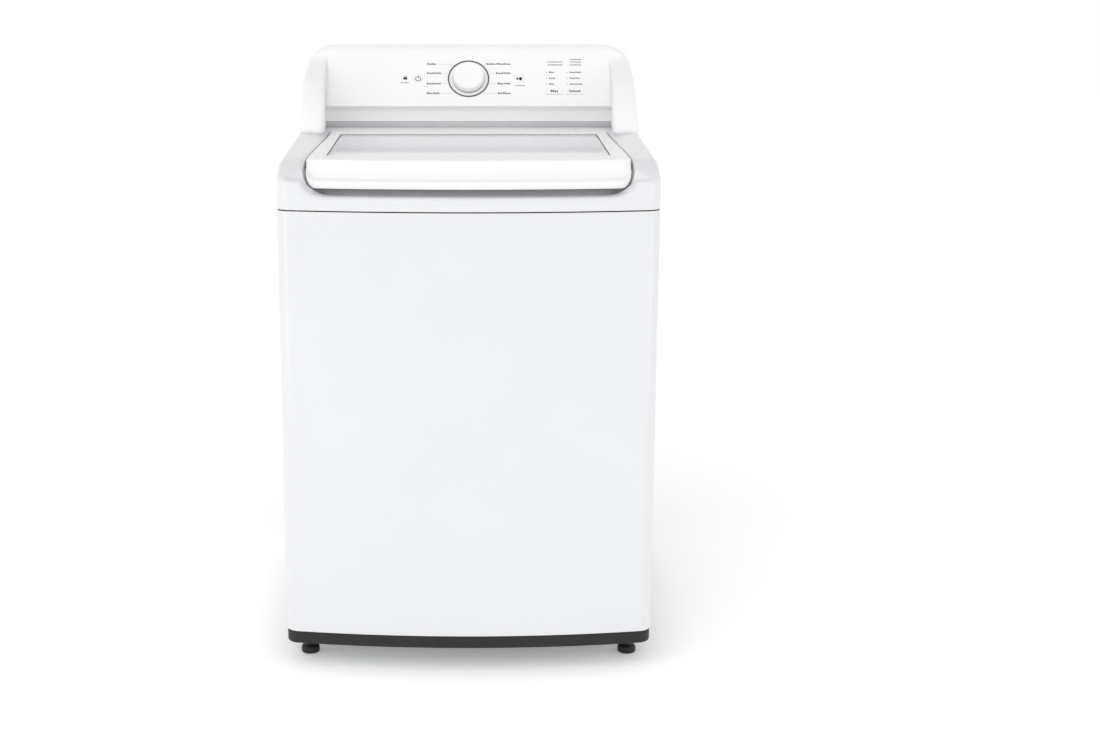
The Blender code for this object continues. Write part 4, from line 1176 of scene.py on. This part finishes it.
def ring_tree():
    """Copies of a shape in rings about Z, every second ring moved round by a share of a step."""
    tree, given, out = new_tree("ring_of_shapes", (
        ("Shape", "Object"), ("Count", "Int"), ("Rows", "Int"), ("Radius", "Float"), ("Base", "Float"),
        ("Pitch", "Float"), ("Stagger", "Float"), ("Material", "Material"),
    ))
    total = calc(tree, "MULTIPLY", given["Count"], given["Rows"])
    points = add(tree, "GeometryNodeMeshLine", {"Count": total}).outputs[0]
    index = tree.nodes.new("GeometryNodeInputIndex").outputs[0]
    column = calc(tree, "MODULO", index, given["Count"])
    row = calc(tree, "FLOOR", calc(tree, "DIVIDE", index, given["Count"]), 0.0)
    odd = calc(tree, "MULTIPLY", calc(tree, "MODULO", row, 2.0), given["Stagger"])
    turn = calc(tree, "DIVIDE", calc(tree, "ADD", column, odd), given["Count"])
    angle = calc(tree, "MULTIPLY", turn, 2 * math.pi)
    place = add(tree, "ShaderNodeCombineXYZ", {
        "X": calc(tree, "MULTIPLY", calc(tree, "COSINE", angle, 0.0), given["Radius"]),
        "Y": calc(tree, "MULTIPLY", calc(tree, "SINE", angle, 0.0), given["Radius"]),
        "Z": calc(tree, "ADD", given["Base"], calc(tree, "MULTIPLY", row, given["Pitch"])),
    }).outputs[0]
    put = add(tree, "GeometryNodeSetPosition", {"Geometry": points, "Position": place}).outputs[0]
    facing = add(tree, "ShaderNodeCombineXYZ", {"Z": angle}).outputs[0]
    shape = add(tree, "GeometryNodeObjectInfo", {"Object": given["Shape"]}).outputs["Geometry"]
    copies = add(
        tree, "GeometryNodeInstanceOnPoints", {"Points": put, "Instance": shape, "Rotation": facing}
    )
    return end_tree(tree, copies.outputs[0], given, out)


def row_tree():
    """Copies of a shape in a straight row."""
    tree, given, out = new_tree("row_of_shapes", (
        ("Shape", "Object"), ("Count", "Int"), ("Start", "Vector"), ("Step", "Vector"),
        ("Material", "Material"),
    ))
    points = add(tree, "GeometryNodeMeshLine", {
        "Count": given["Count"], "Start Location": given["Start"], "Offset": given["Step"],
    }).outputs[0]
    shape = add(tree, "GeometryNodeObjectInfo", {"Object": given["Shape"]}).outputs["Geometry"]
    copies = add(tree, "GeometryNodeInstanceOnPoints", {"Points": points, "Instance": shape})
    return end_tree(tree, copies.outputs[0], given, out)


def coil_tree():
    """A wire wound into a coil about Z."""
    tree, given, out = new_tree("wound_coil", (
        ("Turns", "Float"), ("Radius", "Float"), ("Height", "Float"), ("Wire", "Float"),
        ("Material", "Material"),
    ))
    line = add(tree, "GeometryNodeCurveSpiral", {
        "Resolution": 20, "Rotations": given["Turns"], "Start Radius": given["Radius"],
        "End Radius": given["Radius"], "Height": given["Height"],
    }).outputs[0]
    section = add(tree, "GeometryNodeCurvePrimitiveCircle", {"Resolution": 8, "Radius": given["Wire"]})
    wire = add(tree, "GeometryNodeCurveToMesh", {
        "Curve": line, "Profile Curve": section.outputs[0], "Fill Caps": True,
    })
    return end_tree(tree, wire.outputs[0], given, out)


TREES = {"ring": ring_tree, "row": row_tree, "coil": coil_tree}
made_trees = {}


def repeated(kind, slot, shape=None, **values):
    """The mesh that one of the trees makes from these inputs."""
    if kind not in made_trees:
        made_trees[kind] = TREES[kind]()
    tree = made_trees[kind]
    holder = bpy.data.objects.new("holder", bpy.data.meshes.new("holder"))
    bpy.context.scene.collection.objects.link(holder)
    source = None
    if shape:
        mesh = bpy.data.meshes.new("shape")
        bmesh.ops.recalc_face_normals(shape, faces=shape.faces)
        shape.to_mesh(mesh)
        shape.free()
        source = bpy.data.objects.new("shape", mesh)
        bpy.context.scene.collection.objects.link(source)
        values["Shape"] = source
    values["Material"] = finish(slot)
    run = holder.modifiers.new("repeat", "NODES")
    run.node_group = tree
    for item in tree.interface.items_tree:
        if item.in_out == "INPUT":
            run[item.identifier] = values[item.name]
    bpy.context.view_layer.update()
    graph = bpy.context.evaluated_depsgraph_get()
    mesh = bpy.data.meshes.new_from_object(holder.evaluated_get(graph))
    holder.modifiers.clear()
    for helper in filter(None, (holder, source)):
        bpy.data.objects.remove(helper)
    return mesh


def one_ring(slot, shape, count, radius, base):
    """The mesh of a single ring of copies."""
    return repeated(
        "ring", slot, shape, Count=count, Rows=1, Radius=radius, Base=base, Pitch=0.0, Stagger=0.0
    )


def mesh_parts(*meshes):
    """Several meshes as one bmesh."""
    bm = bmesh.new()
    for mesh in meshes:
        bm.from_mesh(mesh)
        bpy.data.meshes.remove(mesh)
    return bm


def simple_piece(name, bm, slot, body, replaces=(), **options):
    """A piece whose own parts may touch: its vertices are not merged."""
    bmesh.ops.recalc_face_normals(bm, faces=bm.faces)
    mesh = bpy.data.meshes.new(name)
    bm.to_mesh(mesh)
    bm.free()
    return piece_from(name, mesh, slot, body, replaces, **options)


# ------------------------------------------------------------ tub and drive


TUB_R = 300 * MM
BASKET_R = 270 * MM
BASKET_FLOOR = 262 * MM
AGITATOR_Z = BASKET_FLOOR + 5 * MM
ROD_PLACES = [(x, y) for x in (-0.288, 0.288) for y in (-0.270, 0.270)]


def scaled(profile):
    """A profile written in millimetres."""
    return [(r * MM, z * MM) for r, z in profile]


TURNED = {
    "bearing_housing": ("tub", "aluminium", 2.0, [
        (26.2, 160), (62, 160), (62, 176), (120, 208), (120, 214.7), (26.2, 214.7)]),
    "lower_bearing": ("tub", "steel", 0.6, [(15.1, 162), (26, 162), (26, 175), (15.1, 175)]),
    "upper_bearing": ("tub", "steel", 0.6, [(15.1, 196), (26, 196), (26, 211), (15.1, 211)]),
    "rotor": ("drive", "steel", 1.5, [
        (10.3, 122), (52, 122), (60, 124.5), (104, 124.5), (110, 122), (121, 122), (125, 126), (125, 170),
        (116.5, 170), (116.5, 128), (110, 127), (104, 128.5), (60, 128.5), (52, 128), (10.3, 128)]),
    "spin_tube": ("basket", "steel", 0.4, [(10.4, 135), (14.8, 135), (14.8, 266), (10.4, 266)]),
    "drive_shaft": ("drive", "steel", 1.0, [(0, 112), (10, 112), (10, 638.5), (0, 638.5)]),
    "basket_hub": ("basket", "aluminium", 2.0, [
        (15.1, 240), (45, 240), (60, 252), (236, 252), (240, 261.7), (15.1, 261.7)]),
    "agitator_cap": ("drive", "gloss_abs", 2.5, [
        (0, 641), (30, 641), (32, 634), (43, 634), (42, 655), (35, 663), (0, 665)]),
}


class WASHER_OT_tub(bpy.types.Operator):
    """Outer tub with ribs, its cover, the drum with dark discs of painted shade for its holes, balance ring and
    drive
    """

    bl_idname = "washer.tub"
    bl_label = "Tub and drum"

    def execute(self, context):
        for node, (body, slot, radius, profile) in TURNED.items():
            bm = turned(scaled(profile), 96, radius * MM)
            object_from(f"{node}_turned", bm, slot, body, [node])
        self.outer_tub()
        self.drum()
        self.stator()
        return {"FINISHED"}

    def outer_tub(self):
        shell = turned(scaled([
            (26.5, 215), (120, 215), (292, 215), (300, 225), (300, 300), (301.5, 302), (301.5, 306), (300, 308),
            (300, 640), (301.5, 642), (301.5, 646), (300, 648), (300, 800), (297, 800), (297, 227), (290, 219),
            (26.5, 219)]), 128, 1.5 * MM)
        rib = boxed((-1 * MM, -1.5 * MM, 0), (3 * MM, 1.5 * MM, 330 * MM))
        ribs = one_ring("grey_plastic", rib, 24, TUB_R, 0.309)
        spoke = boxed((-75 * MM, -1.5 * MM, -6 * MM), (75 * MM, 1.5 * MM, 1 * MM))
        spokes = one_ring("grey_plastic", spoke, 16, 0.205, 0.215)
        ears = []
        for x, y in ROD_PLACES:
            reach = math.hypot(x, y)
            outline = (
                (0.298, -0.024), (reach - 0.014, -0.017), (reach + 0.010, -0.012), (reach + 0.016, 0.0),
                (reach + 0.010, 0.012), (reach - 0.014, 0.017), (0.298, 0.024),
            )
            arm = lofted([[(r, w, z) for r, w in outline] for z in (0.300, 0.314)])
            ears.append(moved(arm, Matrix.Rotation(math.atan2(y, x), 4, "Z")))
        bm = joined(shell, mesh_parts(ribs, spokes), *ears)
        tub = simple_piece("tub_shell", bm, "grey_plastic", "tub", ["outer_tub"])
        carve(tub, [rod(6.2 * MM, (x, y, 0.29), (x, y, 0.33), 24) for x, y in ROD_PLACES])
        cover = turned(scaled([
            (294, 800.3), (303, 800.3), (303, 810), (294, 814.3), (275, 819), (252, 824.3), (246, 824.3),
            (246, 810.3), (248, 811), (250, 820.3), (272, 815.5), (291, 810.3)]), 128, 1.0 * MM)
        object_from("tub_cover_turned", cover, "grey_plastic", "tub", ["tub_cover"])

    def drum(self):
        shell = turned(scaled([
            (15.1, 262), (252, 262), (264, 266), (270, 280), (270, 700), (271, 704), (271, 712), (270, 716),
            (270, 745), (269, 745), (269, 716.4), (270, 712), (270, 704), (269, 699.6), (269, 280.6),
            (263.2, 267), (251.7, 263), (15.1, 263)]), 160, 1.2 * MM)
        object_from("drum_shell", shell, "stainless", "basket", ["basket"], angle=40)
        # The drain holes are not cut: dark discs sit in the drum's wall and floor as painted shade for the
        # darkness seen through the holes.
        hole = sizes().basket_hole
        around = int(2 * math.pi * BASKET_R / sizes().basket_pitch / 4) * 4
        disc = rod(hole, (-1.3 * MM, 0, 0), (0.25 * MM, 0, 0), 12)
        wall = repeated(
            "ring", "rubber", disc, Count=around, Rows=23, Radius=BASKET_R, Base=0.300,
            Pitch=sizes().basket_pitch, Stagger=0.5,
        )
        floors = []
        for row in range(4):
            disc = rod(hole, (0, 0, -1.2 * MM), (0, 0, 0.25 * MM), 12)
            radius = (185 + 18 * row) * MM
            floors.append(one_ring("rubber", disc, int(2 * math.pi * radius / (18 * MM)), radius, 0.263))
        simple_piece("drum_holes", mesh_parts(wall, *floors), "rubber", "basket", angle=60)
        ring = turned(scaled([
            (238, 745.3), (272, 745.3), (272, 784), (262, 793), (246, 795), (232, 788), (232, 751.3)]),
            160, 3.5 * MM)
        seam = boxed((-1.5 * MM, -1 * MM, -8 * MM), (1.0 * MM, 1 * MM, 8 * MM))
        seams = one_ring("grey_plastic", seam, 36, 0.2325, 0.770)
        simple_piece(
            "balance_ring_turned", joined(ring, mesh_parts(seams)), "grey_plastic", "basket", ["balance_ring"]
        )

    def stator(self):
        core = turned(scaled([(68, 148), (76, 148), (76, 156), (68, 156)]), 64, 0.5 * MM)
        tooth = moved(rod(7 * MM, (0, 0, 0), (30 * MM, 0, 0), 16), Matrix.Diagonal((1, 0.62, 1.6, 1)))
        teeth = one_ring("copper", tooth, 30, 0.078, 0.152)
        simple_piece("stator_windings", joined(core, mesh_parts(teeth)), "copper", "tub", ["stator"])


class WASHER_OT_agitator(bpy.types.Operator):
    """Skirted agitator base with four fins, and its spiral sleeve"""

    bl_idname = "washer.agitator"
    bl_label = "Agitator"

    def execute(self, context):
        z = AGITATOR_Z / MM
        base = turned(scaled([
            (10.3, z + 4), (150, z + 2), (172, z), (174, z + 10), (160, z + 18), (140, z + 24), (112, z + 33),
            (85, z + 45), (68, z + 62), (58, z + 85), (51, z + 140), (48, z + 200), (10.3, z + 200)]), 96, 8 * MM)
        fins = []
        for i in range(4):
            fit = Matrix.Rotation(math.pi / 2 * i + math.pi / 4, 4, "Z")
            rings = []
            for r, low_z, high_z in (
                (30, 20, 195), (60, 20, 193), (70, 19, 186), (76, 18, 158), (82, 18, 124), (92, 17, 92),
                (104, 16, 64), (118, 15.5, 55), (132, 15, 46), (144, 14.5, 38), (150, 14, 30),
            ):
                thick = (5.0 - 2.6 * (r - 30) / 120) * MM
                foot, crest = (z + low_z) * MM, (z + high_z) * MM
                rings.append([
                    (r * MM, w * thick, h) for w, h in (
                        (-1, foot), (1, foot), (0.8, crest - 4 * MM), (0.45, crest - 1 * MM), (0, crest),
                        (-0.45, crest - 1 * MM), (-0.8, crest - 4 * MM))])
            fins.append(moved(lofted(rings), fit))
        simple_piece(
            "agitator_skirt", joined(base, *fins), "white_abs", "drive", ["agitator_base"], angle=50
        )
        foot = z + 201
        sleeve = turned(scaled([(10.3, foot), (50, foot), (44, foot + 165), (10.3, foot + 165)]), 96, 1.5 * MM)
        vanes = [self.vane((foot + 8) * MM, 148 * MM, math.pi * i) for i in range(2)]
        simple_piece(
            "agitator_sleeve", joined(sleeve, *vanes), "white_abs", "drive", ["agitator_auger"], angle=50
        )
        return {"FINISHED"}

    def vane(self, z, rise, phase, steps=56):
        """A blade swept half a turn round the column, with a rounded lip."""
        thick, rings = 6 * MM, []
        for i in range(steps + 1):
            share = i / steps
            angle = phase + math.pi * 1.1 * share
            height = z + (rise - thick) * share
            reach = 69 * MM - 10 * MM * share
            c, s = math.cos(angle), math.sin(angle)
            section = (
                (0.036, 0.0), (reach - 3 * MM, 0.6 * MM), (reach - 0.8 * MM, 1.4 * MM), (reach, 3 * MM),
                (reach - 0.8 * MM, 4.6 * MM), (reach - 3 * MM, 5.4 * MM), (0.036, thick),
            )
            rings.append([(r * c, r * s, height + h) for r, h in section])
        return lofted(rings)


class WASHER_OT_suspension(bpy.types.Operator):
    """Suspension rods, wound springs and the bellows under the tub"""

    bl_idname = "washer.suspension"
    bl_label = "Suspension"

    def execute(self, context):
        for corner in CORNERS:
            node = f"suspension_spring_{corner}"
            lower, upper = low(node), high(node)
            middle = (lower + upper) / 2
            wire = sizes().spring_wire
            place = Matrix.Translation((middle.x, middle.y, lower.z + wire))
            coil = repeated(
                "coil", "steel", Turns=float(sizes().spring_turns), Wire=wire,
                Radius=(upper.x - lower.x) / 2 - wire, Height=upper.z - lower.z - 2 * wire,
            )
            simple_piece(f"spring_{corner}", moved(mesh_parts(coil), place), "steel", "tub", [node])
            rod_bm = turned(scaled([
                (0, 232), (14, 232), (14, 237.5), (5, 238.5), (4, 241), (4, 843.3), (10, 843.3), (8.5, 852),
                (0, 854)]), 32, 1.0 * MM)
            place = Matrix.Translation((middle.x, middle.y, 0))
            object_from(
                f"rod_{corner}", moved(rod_bm, place), "steel", "cabinet", [f"suspension_rod_{corner}"]
            )
        lower, upper = low("sump_bellows"), high("sump_bellows")
        middle = (lower + upper) / 2
        folds = [(14.5, 147.5), (18.5, 147.5), (18.5, 154)]
        folds += [(21.5 if i % 2 else 17.5, 158 + 6 * i) for i in range(9)]
        folds += [(20.5, 211), (20.5, 214.7), (14.5, 214.7)]
        hose = moved(turned(scaled(folds), 48, 1.6 * MM), Matrix.Translation((middle.x, middle.y, 0)))
        object_from("bellows_turned", hose, "rubber", "tub", ["sump_bellows"])
        return {"FINISHED"}


# -------------------------------------------------------------- rear fittings


REAR_Y = 345 * MM
INLET_X = (-0.20, -0.12)
INLET_Z = 0.815
DRAIN_PORT = (0.235, 0.790)
CORD_PORT = (0.20, 0.30)
RIB_X = (-0.26, -0.13, 0.0, 0.115)


def backwards(bm, x, z, y):
    """Turn a shape made about Z so that it points out of the rear panel at (x, z)."""
    return moved(bm, Matrix.Translation((x, y, z)) @ Matrix.Rotation(-math.pi / 2, 4, "X"))


class WASHER_OT_rear(bpy.types.Operator):
    """Rear panel with pressed ribs, louvres and screws, and the inlet and cord fittings"""

    bl_idname = "washer.rear"
    bl_label = "Rear"

    def execute(self, context):
        lower, upper = low("rear_panel"), high("rear_panel")
        sheet = boxed(lower, (upper.x, lower.y + SHEET, upper.z))
        ports = [(x, INLET_Z, 14.5) for x in INLET_X] + [(*DRAIN_PORT, 17.5), (*CORD_PORT, 9.5)]
        panel = object_from("rear_sheet", sheet, "steel", "cabinet", ["rear_panel"])
        carve(panel, [
            rod(r * MM, (x, REAR_Y - 0.01, z), (x, REAR_Y + 0.01, z), 48) for x, z, r in ports
        ])
        ribs = []
        z0, z1 = 0.14, 0.72
        for x in RIB_X:
            rings = []
            for tuck, rise in ((0.0, -0.5), (1.2, 0.8), (4.0, 4.6), (6.5, 5.4)):
                rows = rounded(0.020 - tuck * MM, z0 + tuck * MM, z1 - tuck * MM, 0.019 - tuck * MM,
                               steps=6, across=6, along=6)
                rings.append([(x + a, upper.y + rise * MM, b) for a, b in rows])
            ribs.append(lofted(rings))
        simple_piece("rear_ribs", joined(*ribs), "steel", "cabinet", angle=60)
        rows = repeated(
            "row", "steel", self.louvre(upper.y), Count=7, Start=(0.24, 0.0, 0.45), Step=(0.0, 0.0, 0.020)
        )
        simple_piece("rear_louvres", mesh_parts(rows), "steel", "cabinet", angle=30)
        self.screws(upper)
        self.fittings()
        return {"FINISHED"}

    def louvre(self, y):
        """A pressed slot whose lip leans out over it."""
        w = 30 * MM
        bm = bmesh.new()
        points = [(-w, y, 4 * MM), (w, y, 4 * MM), (w, y + 5.5 * MM, -4 * MM), (-w, y + 5.5 * MM, -4 * MM),
                  (-w, y, -4 * MM), (w, y, -4 * MM)]
        v = [bm.verts.new(p) for p in points]
        for face in ((0, 1, 2, 3), (3, 2, 5, 4), (0, 3, 4), (1, 5, 2), (0, 4, 5, 1)):
            bm.faces.new([v[i] for i in face])
        return bm

    def screws(self, upper):
        """Flanged screws up both sides and along the foot of the rear panel."""
        meshes = []
        edge_x, edge_z = upper.x - 12 * MM, (CABINET_Z + 14 * MM, COVER_Z - 14 * MM)
        rise = (edge_z[1] - edge_z[0]) / 7
        runs = [((side * edge_x, edge_z[0]), (0.0, rise), 8) for side in (-1, 1)]
        runs.append(((-edge_x + 0.11, edge_z[0]), (0.11, 0.0), 5))
        for (x, z), (dx, dz), count in runs:
            head = turned([
                (0, -0.4 * MM), (5.6 * MM, -0.4 * MM), (5.6 * MM, 0.4 * MM),
                (sizes().screw_head, 0.5 * MM), (sizes().screw_head, 2.6 * MM), (0, 3 * MM),
            ], 12, 0.3 * MM)
            head = moved(head, Matrix.Rotation(-math.pi / 2, 4, "X"))
            meshes.append(repeated(
                "row", "steel", head, Count=count, Start=(x, upper.y, z), Step=(dx, 0.0, dz)
            ))
        simple_piece("rear_screws", mesh_parts(*meshes), "steel", "cabinet")

    def fittings(self):
        """Threaded hot and cold inlets, and the cord's gland."""
        base = REAR_Y - 42.5 * MM
        ports = []
        for x in INLET_X:
            thread = []
            for i in range(10):
                thread += [(12.5, 31 + 2.2 * i), (11.4, 32.1 + 2.2 * i)]
            profile = [
                (0, 0), (17, 0), (17, 28), (12.5, 30), *thread,
                (12.5, 56), (12, 57.5), (9, 57.5), (9, 40), (0, 40),
            ]
            ports.append(backwards(turned(scaled(profile), 48, 0.4 * MM), x, INLET_Z, base))
        body = boxed((-0.196, base + 4 * MM, 0.803), (-0.124, base + 22 * MM, 0.827))
        simple_piece("inlet_valve_body", joined(body, *ports), "grey_plastic", "cabinet", ["inlet_valve"])
        gland = [(4, 0), (9, 0), (9, 7), (13, 7.5), (12.4, 10), (11, 13), (4, 13)]
        ring = backwards(turned(scaled(gland), 48, 0.6 * MM), *CORD_PORT, REAR_Y - 6 * MM)
        object_from("power_gland_turned", ring, "black_plastic", "cabinet", ["power_gland"])


# ------------------------------------------------------------------- feet


class WASHER_OT_feet(bpy.types.Operator):
    """Four levelling feet with a hexagon and threaded stem"""

    bl_idname = "washer.feet"
    bl_label = "Levelling feet"

    def execute(self, context):
        for corner in CORNERS:
            node = f"foot_{corner}"
            lower, upper = low(node), high(node)
            middle = (lower + upper) / 2
            place = Matrix.Translation((middle.x, middle.y, 0))
            pad = [
                (0, 0), (15.5 * MM, 0), (17.4 * MM, 1.6 * MM), (17.5 * MM, 9 * MM), (16.2 * MM, 12.5 * MM),
                (11 * MM, 14.5 * MM), (8.2 * MM, 15.5 * MM), (8.2 * MM, 19 * MM), (0, 19 * MM),
            ]
            nut = prism(arc(0, 0, 9.4 * MM, 0, 300, 5), 19 * MM, 30 * MM)
            stem = [(0, 30 * MM)]
            pitch, turns = 1.75 * MM, 26
            for i in range(turns):
                z = 30 * MM + pitch * i
                stem += [(4.3 * MM, z), (5.0 * MM, z + pitch / 2)]
            stem += [(4.3 * MM, 30 * MM + pitch * turns), (0, 30 * MM + pitch * turns)]
            bm = joined(turned(pad, 64, 1.2 * MM), nut)
            object_from(f"foot_pad_{corner}", moved(bm, place), "black_plastic", node, [node])
            thread = moved(turned(stem, 24, 0), place)
            object_from(f"foot_stem_{corner}", thread, "steel", node)
        return {"FINISHED"}


# ------------------------------------------------------------------- stage


EYE_DISTANCE = 3.05
EYE_HEIGHT = 1.33
EYE_TILT = 12.95


def soft_light(name, place, aim, size, power):
    lamp = bpy.data.lights.new(name, "AREA")
    lamp.shape, lamp.size, lamp.size_y = "RECTANGLE", size[0], size[1]
    lamp.energy = power
    obj = bpy.data.objects.new(name, lamp)
    bpy.context.scene.collection.objects.link(obj)
    obj.location = place
    obj.rotation_euler = (Vector(aim) - Vector(place)).to_track_quat("-Z", "Y").to_euler()


class WASHER_OT_stage(bpy.types.Operator):
    """Pale floor, soft studio light and the camera"""

    bl_idname = "washer.stage"
    bl_label = "Stage"

    def execute(self, context):
        scene = bpy.context.scene
        bm = bmesh.new()
        bmesh.ops.create_grid(bm, x_segments=1, y_segments=1, size=12.0)
        mesh = bpy.data.meshes.new("studio_floor")
        bm.to_mesh(mesh)
        bm.free()
        paint = bpy.data.materials.new("studio_floor_paint")
        paint.use_nodes = True
        shader = paint.node_tree.nodes["Principled BSDF"]
        shader.inputs["Base Color"].default_value = linear("#FBFBFB")
        shader.inputs["Roughness"].default_value = 0.9
        shader.inputs["Specular IOR Level"].default_value = 0.0
        shader.inputs["Emission Color"].default_value = linear("#FFFFFF")
        shader.inputs["Emission Strength"].default_value = 0.18
        mesh.materials.append(paint)
        floor = bpy.data.objects.new("studio_floor", mesh)
        scene.collection.objects.link(floor)
        floor.location.z = CAD_LOW.z - 0.2 * MM
        world = bpy.data.worlds.new("studio")
        world.use_nodes = True
        tree = world.node_tree
        up = add(tree, "ShaderNodeTexCoord").outputs["Generated"]
        height = add(tree, "ShaderNodeSeparateXYZ", {"Vector": up}).outputs["Z"]
        fade = add(tree, "ShaderNodeMapRange", {"Value": height, "To Min": 1.0, "To Max": 0.55})
        tree.links.new(fade.outputs["Result"], tree.nodes["Background"].inputs["Strength"])
        tree.nodes["Background"].inputs["Color"].default_value = linear("#FFFFFF")
        scene.world = world
        sun = bpy.data.lights.new("sky_panel", "SUN")
        sun.energy = 0.75
        sun.angle = math.radians(70)
        lamp = bpy.data.objects.new("sky_panel", sun)
        scene.collection.objects.link(lamp)
        lamp.rotation_euler = Vector((0.30, 0.62, -1.0)).to_track_quat("-Z", "Y").to_euler()
        soft_light("left_strip", (-2.4, -1.9, 1.2), (0, 0, 0.7), (0.30, 2.2), 7)
        soft_light("right_strip", (2.4, -1.9, 1.2), (0, 0, 0.7), (0.30, 2.2), 6)
        scene.view_settings.view_transform = "Standard"
        scene.view_settings.look = "None"
        data = bpy.data.cameras.new("camera")
        data.sensor_width = 36
        data.lens = 56.7
        data.shift_x = 0.074
        data.shift_y = -0.022
        camera = bpy.data.objects.new("camera", data)
        scene.collection.objects.link(camera)
        camera.location = (0, CORNER_Y - EYE_DISTANCE, EYE_HEIGHT)
        camera.rotation_euler = (math.radians(90 - EYE_TILT), 0, 0)
        scene.camera = camera
        return {"FINISHED"}


class WASHER_OT_inner_finishes(bpy.types.Operator):
    """Finish of every frame node that keeps its own shape"""

    bl_idname = "washer.inner_finishes"
    bl_label = "Inner finishes"

    def execute(self, context):
        slots = {entry["node"]: entry["material_slot"] for entry in frame["record"]["subparts"]}
        for name, node in frame["nodes"].items():
            if not node.hide_render:
                for material_slot in node.material_slots:
                    material_slot.material = finish(slots[name])
        return {"FINISHED"}


class WASHER_PT_panel(bpy.types.Panel):
    """Lists the steps in the sidebar"""

    bl_label = "Washer"
    bl_idname = "WASHER_PT_panel"
    bl_space_type = "VIEW_3D"
    bl_region_type = "UI"
    bl_category = "Washer"

    def draw(self, context):
        for operator in OPERATORS:
            self.layout.operator(operator.bl_idname)
        for group in (sizes(), colours()):
            for name in group.bl_rna.properties.keys():
                if name not in ("rna_type", "name"):
                    self.layout.prop(group, name)


OPERATORS = (
    WASHER_OT_stage, WASHER_OT_cabinet, WASHER_OT_top_cover, WASHER_OT_lid, WASHER_OT_console,
    WASHER_OT_control_face, WASHER_OT_dial, WASHER_OT_printing, WASHER_OT_buttons, WASHER_OT_tub,
    WASHER_OT_agitator, WASHER_OT_suspension, WASHER_OT_rear, WASHER_OT_feet, WASHER_OT_inner_finishes,
)
CLASSES = (WasherSizes, WasherColours, *OPERATORS, WASHER_PT_panel)


def register():
    for cls in CLASSES:
        bpy.utils.register_class(cls)
    bpy.types.Scene.washer_sizes = PointerProperty(type=WasherSizes)
    bpy.types.Scene.washer_colours = PointerProperty(type=WasherColours)


def unregister():
    del bpy.types.Scene.washer_colours
    del bpy.types.Scene.washer_sizes
    for cls in reversed(CLASSES):
        bpy.utils.unregister_class(cls)


def main():
    register()
    for operator in OPERATORS:
        group, name = operator.bl_idname.split(".")
        getattr(getattr(bpy.ops, group), name)()


if __name__ == "__main__":
    main()
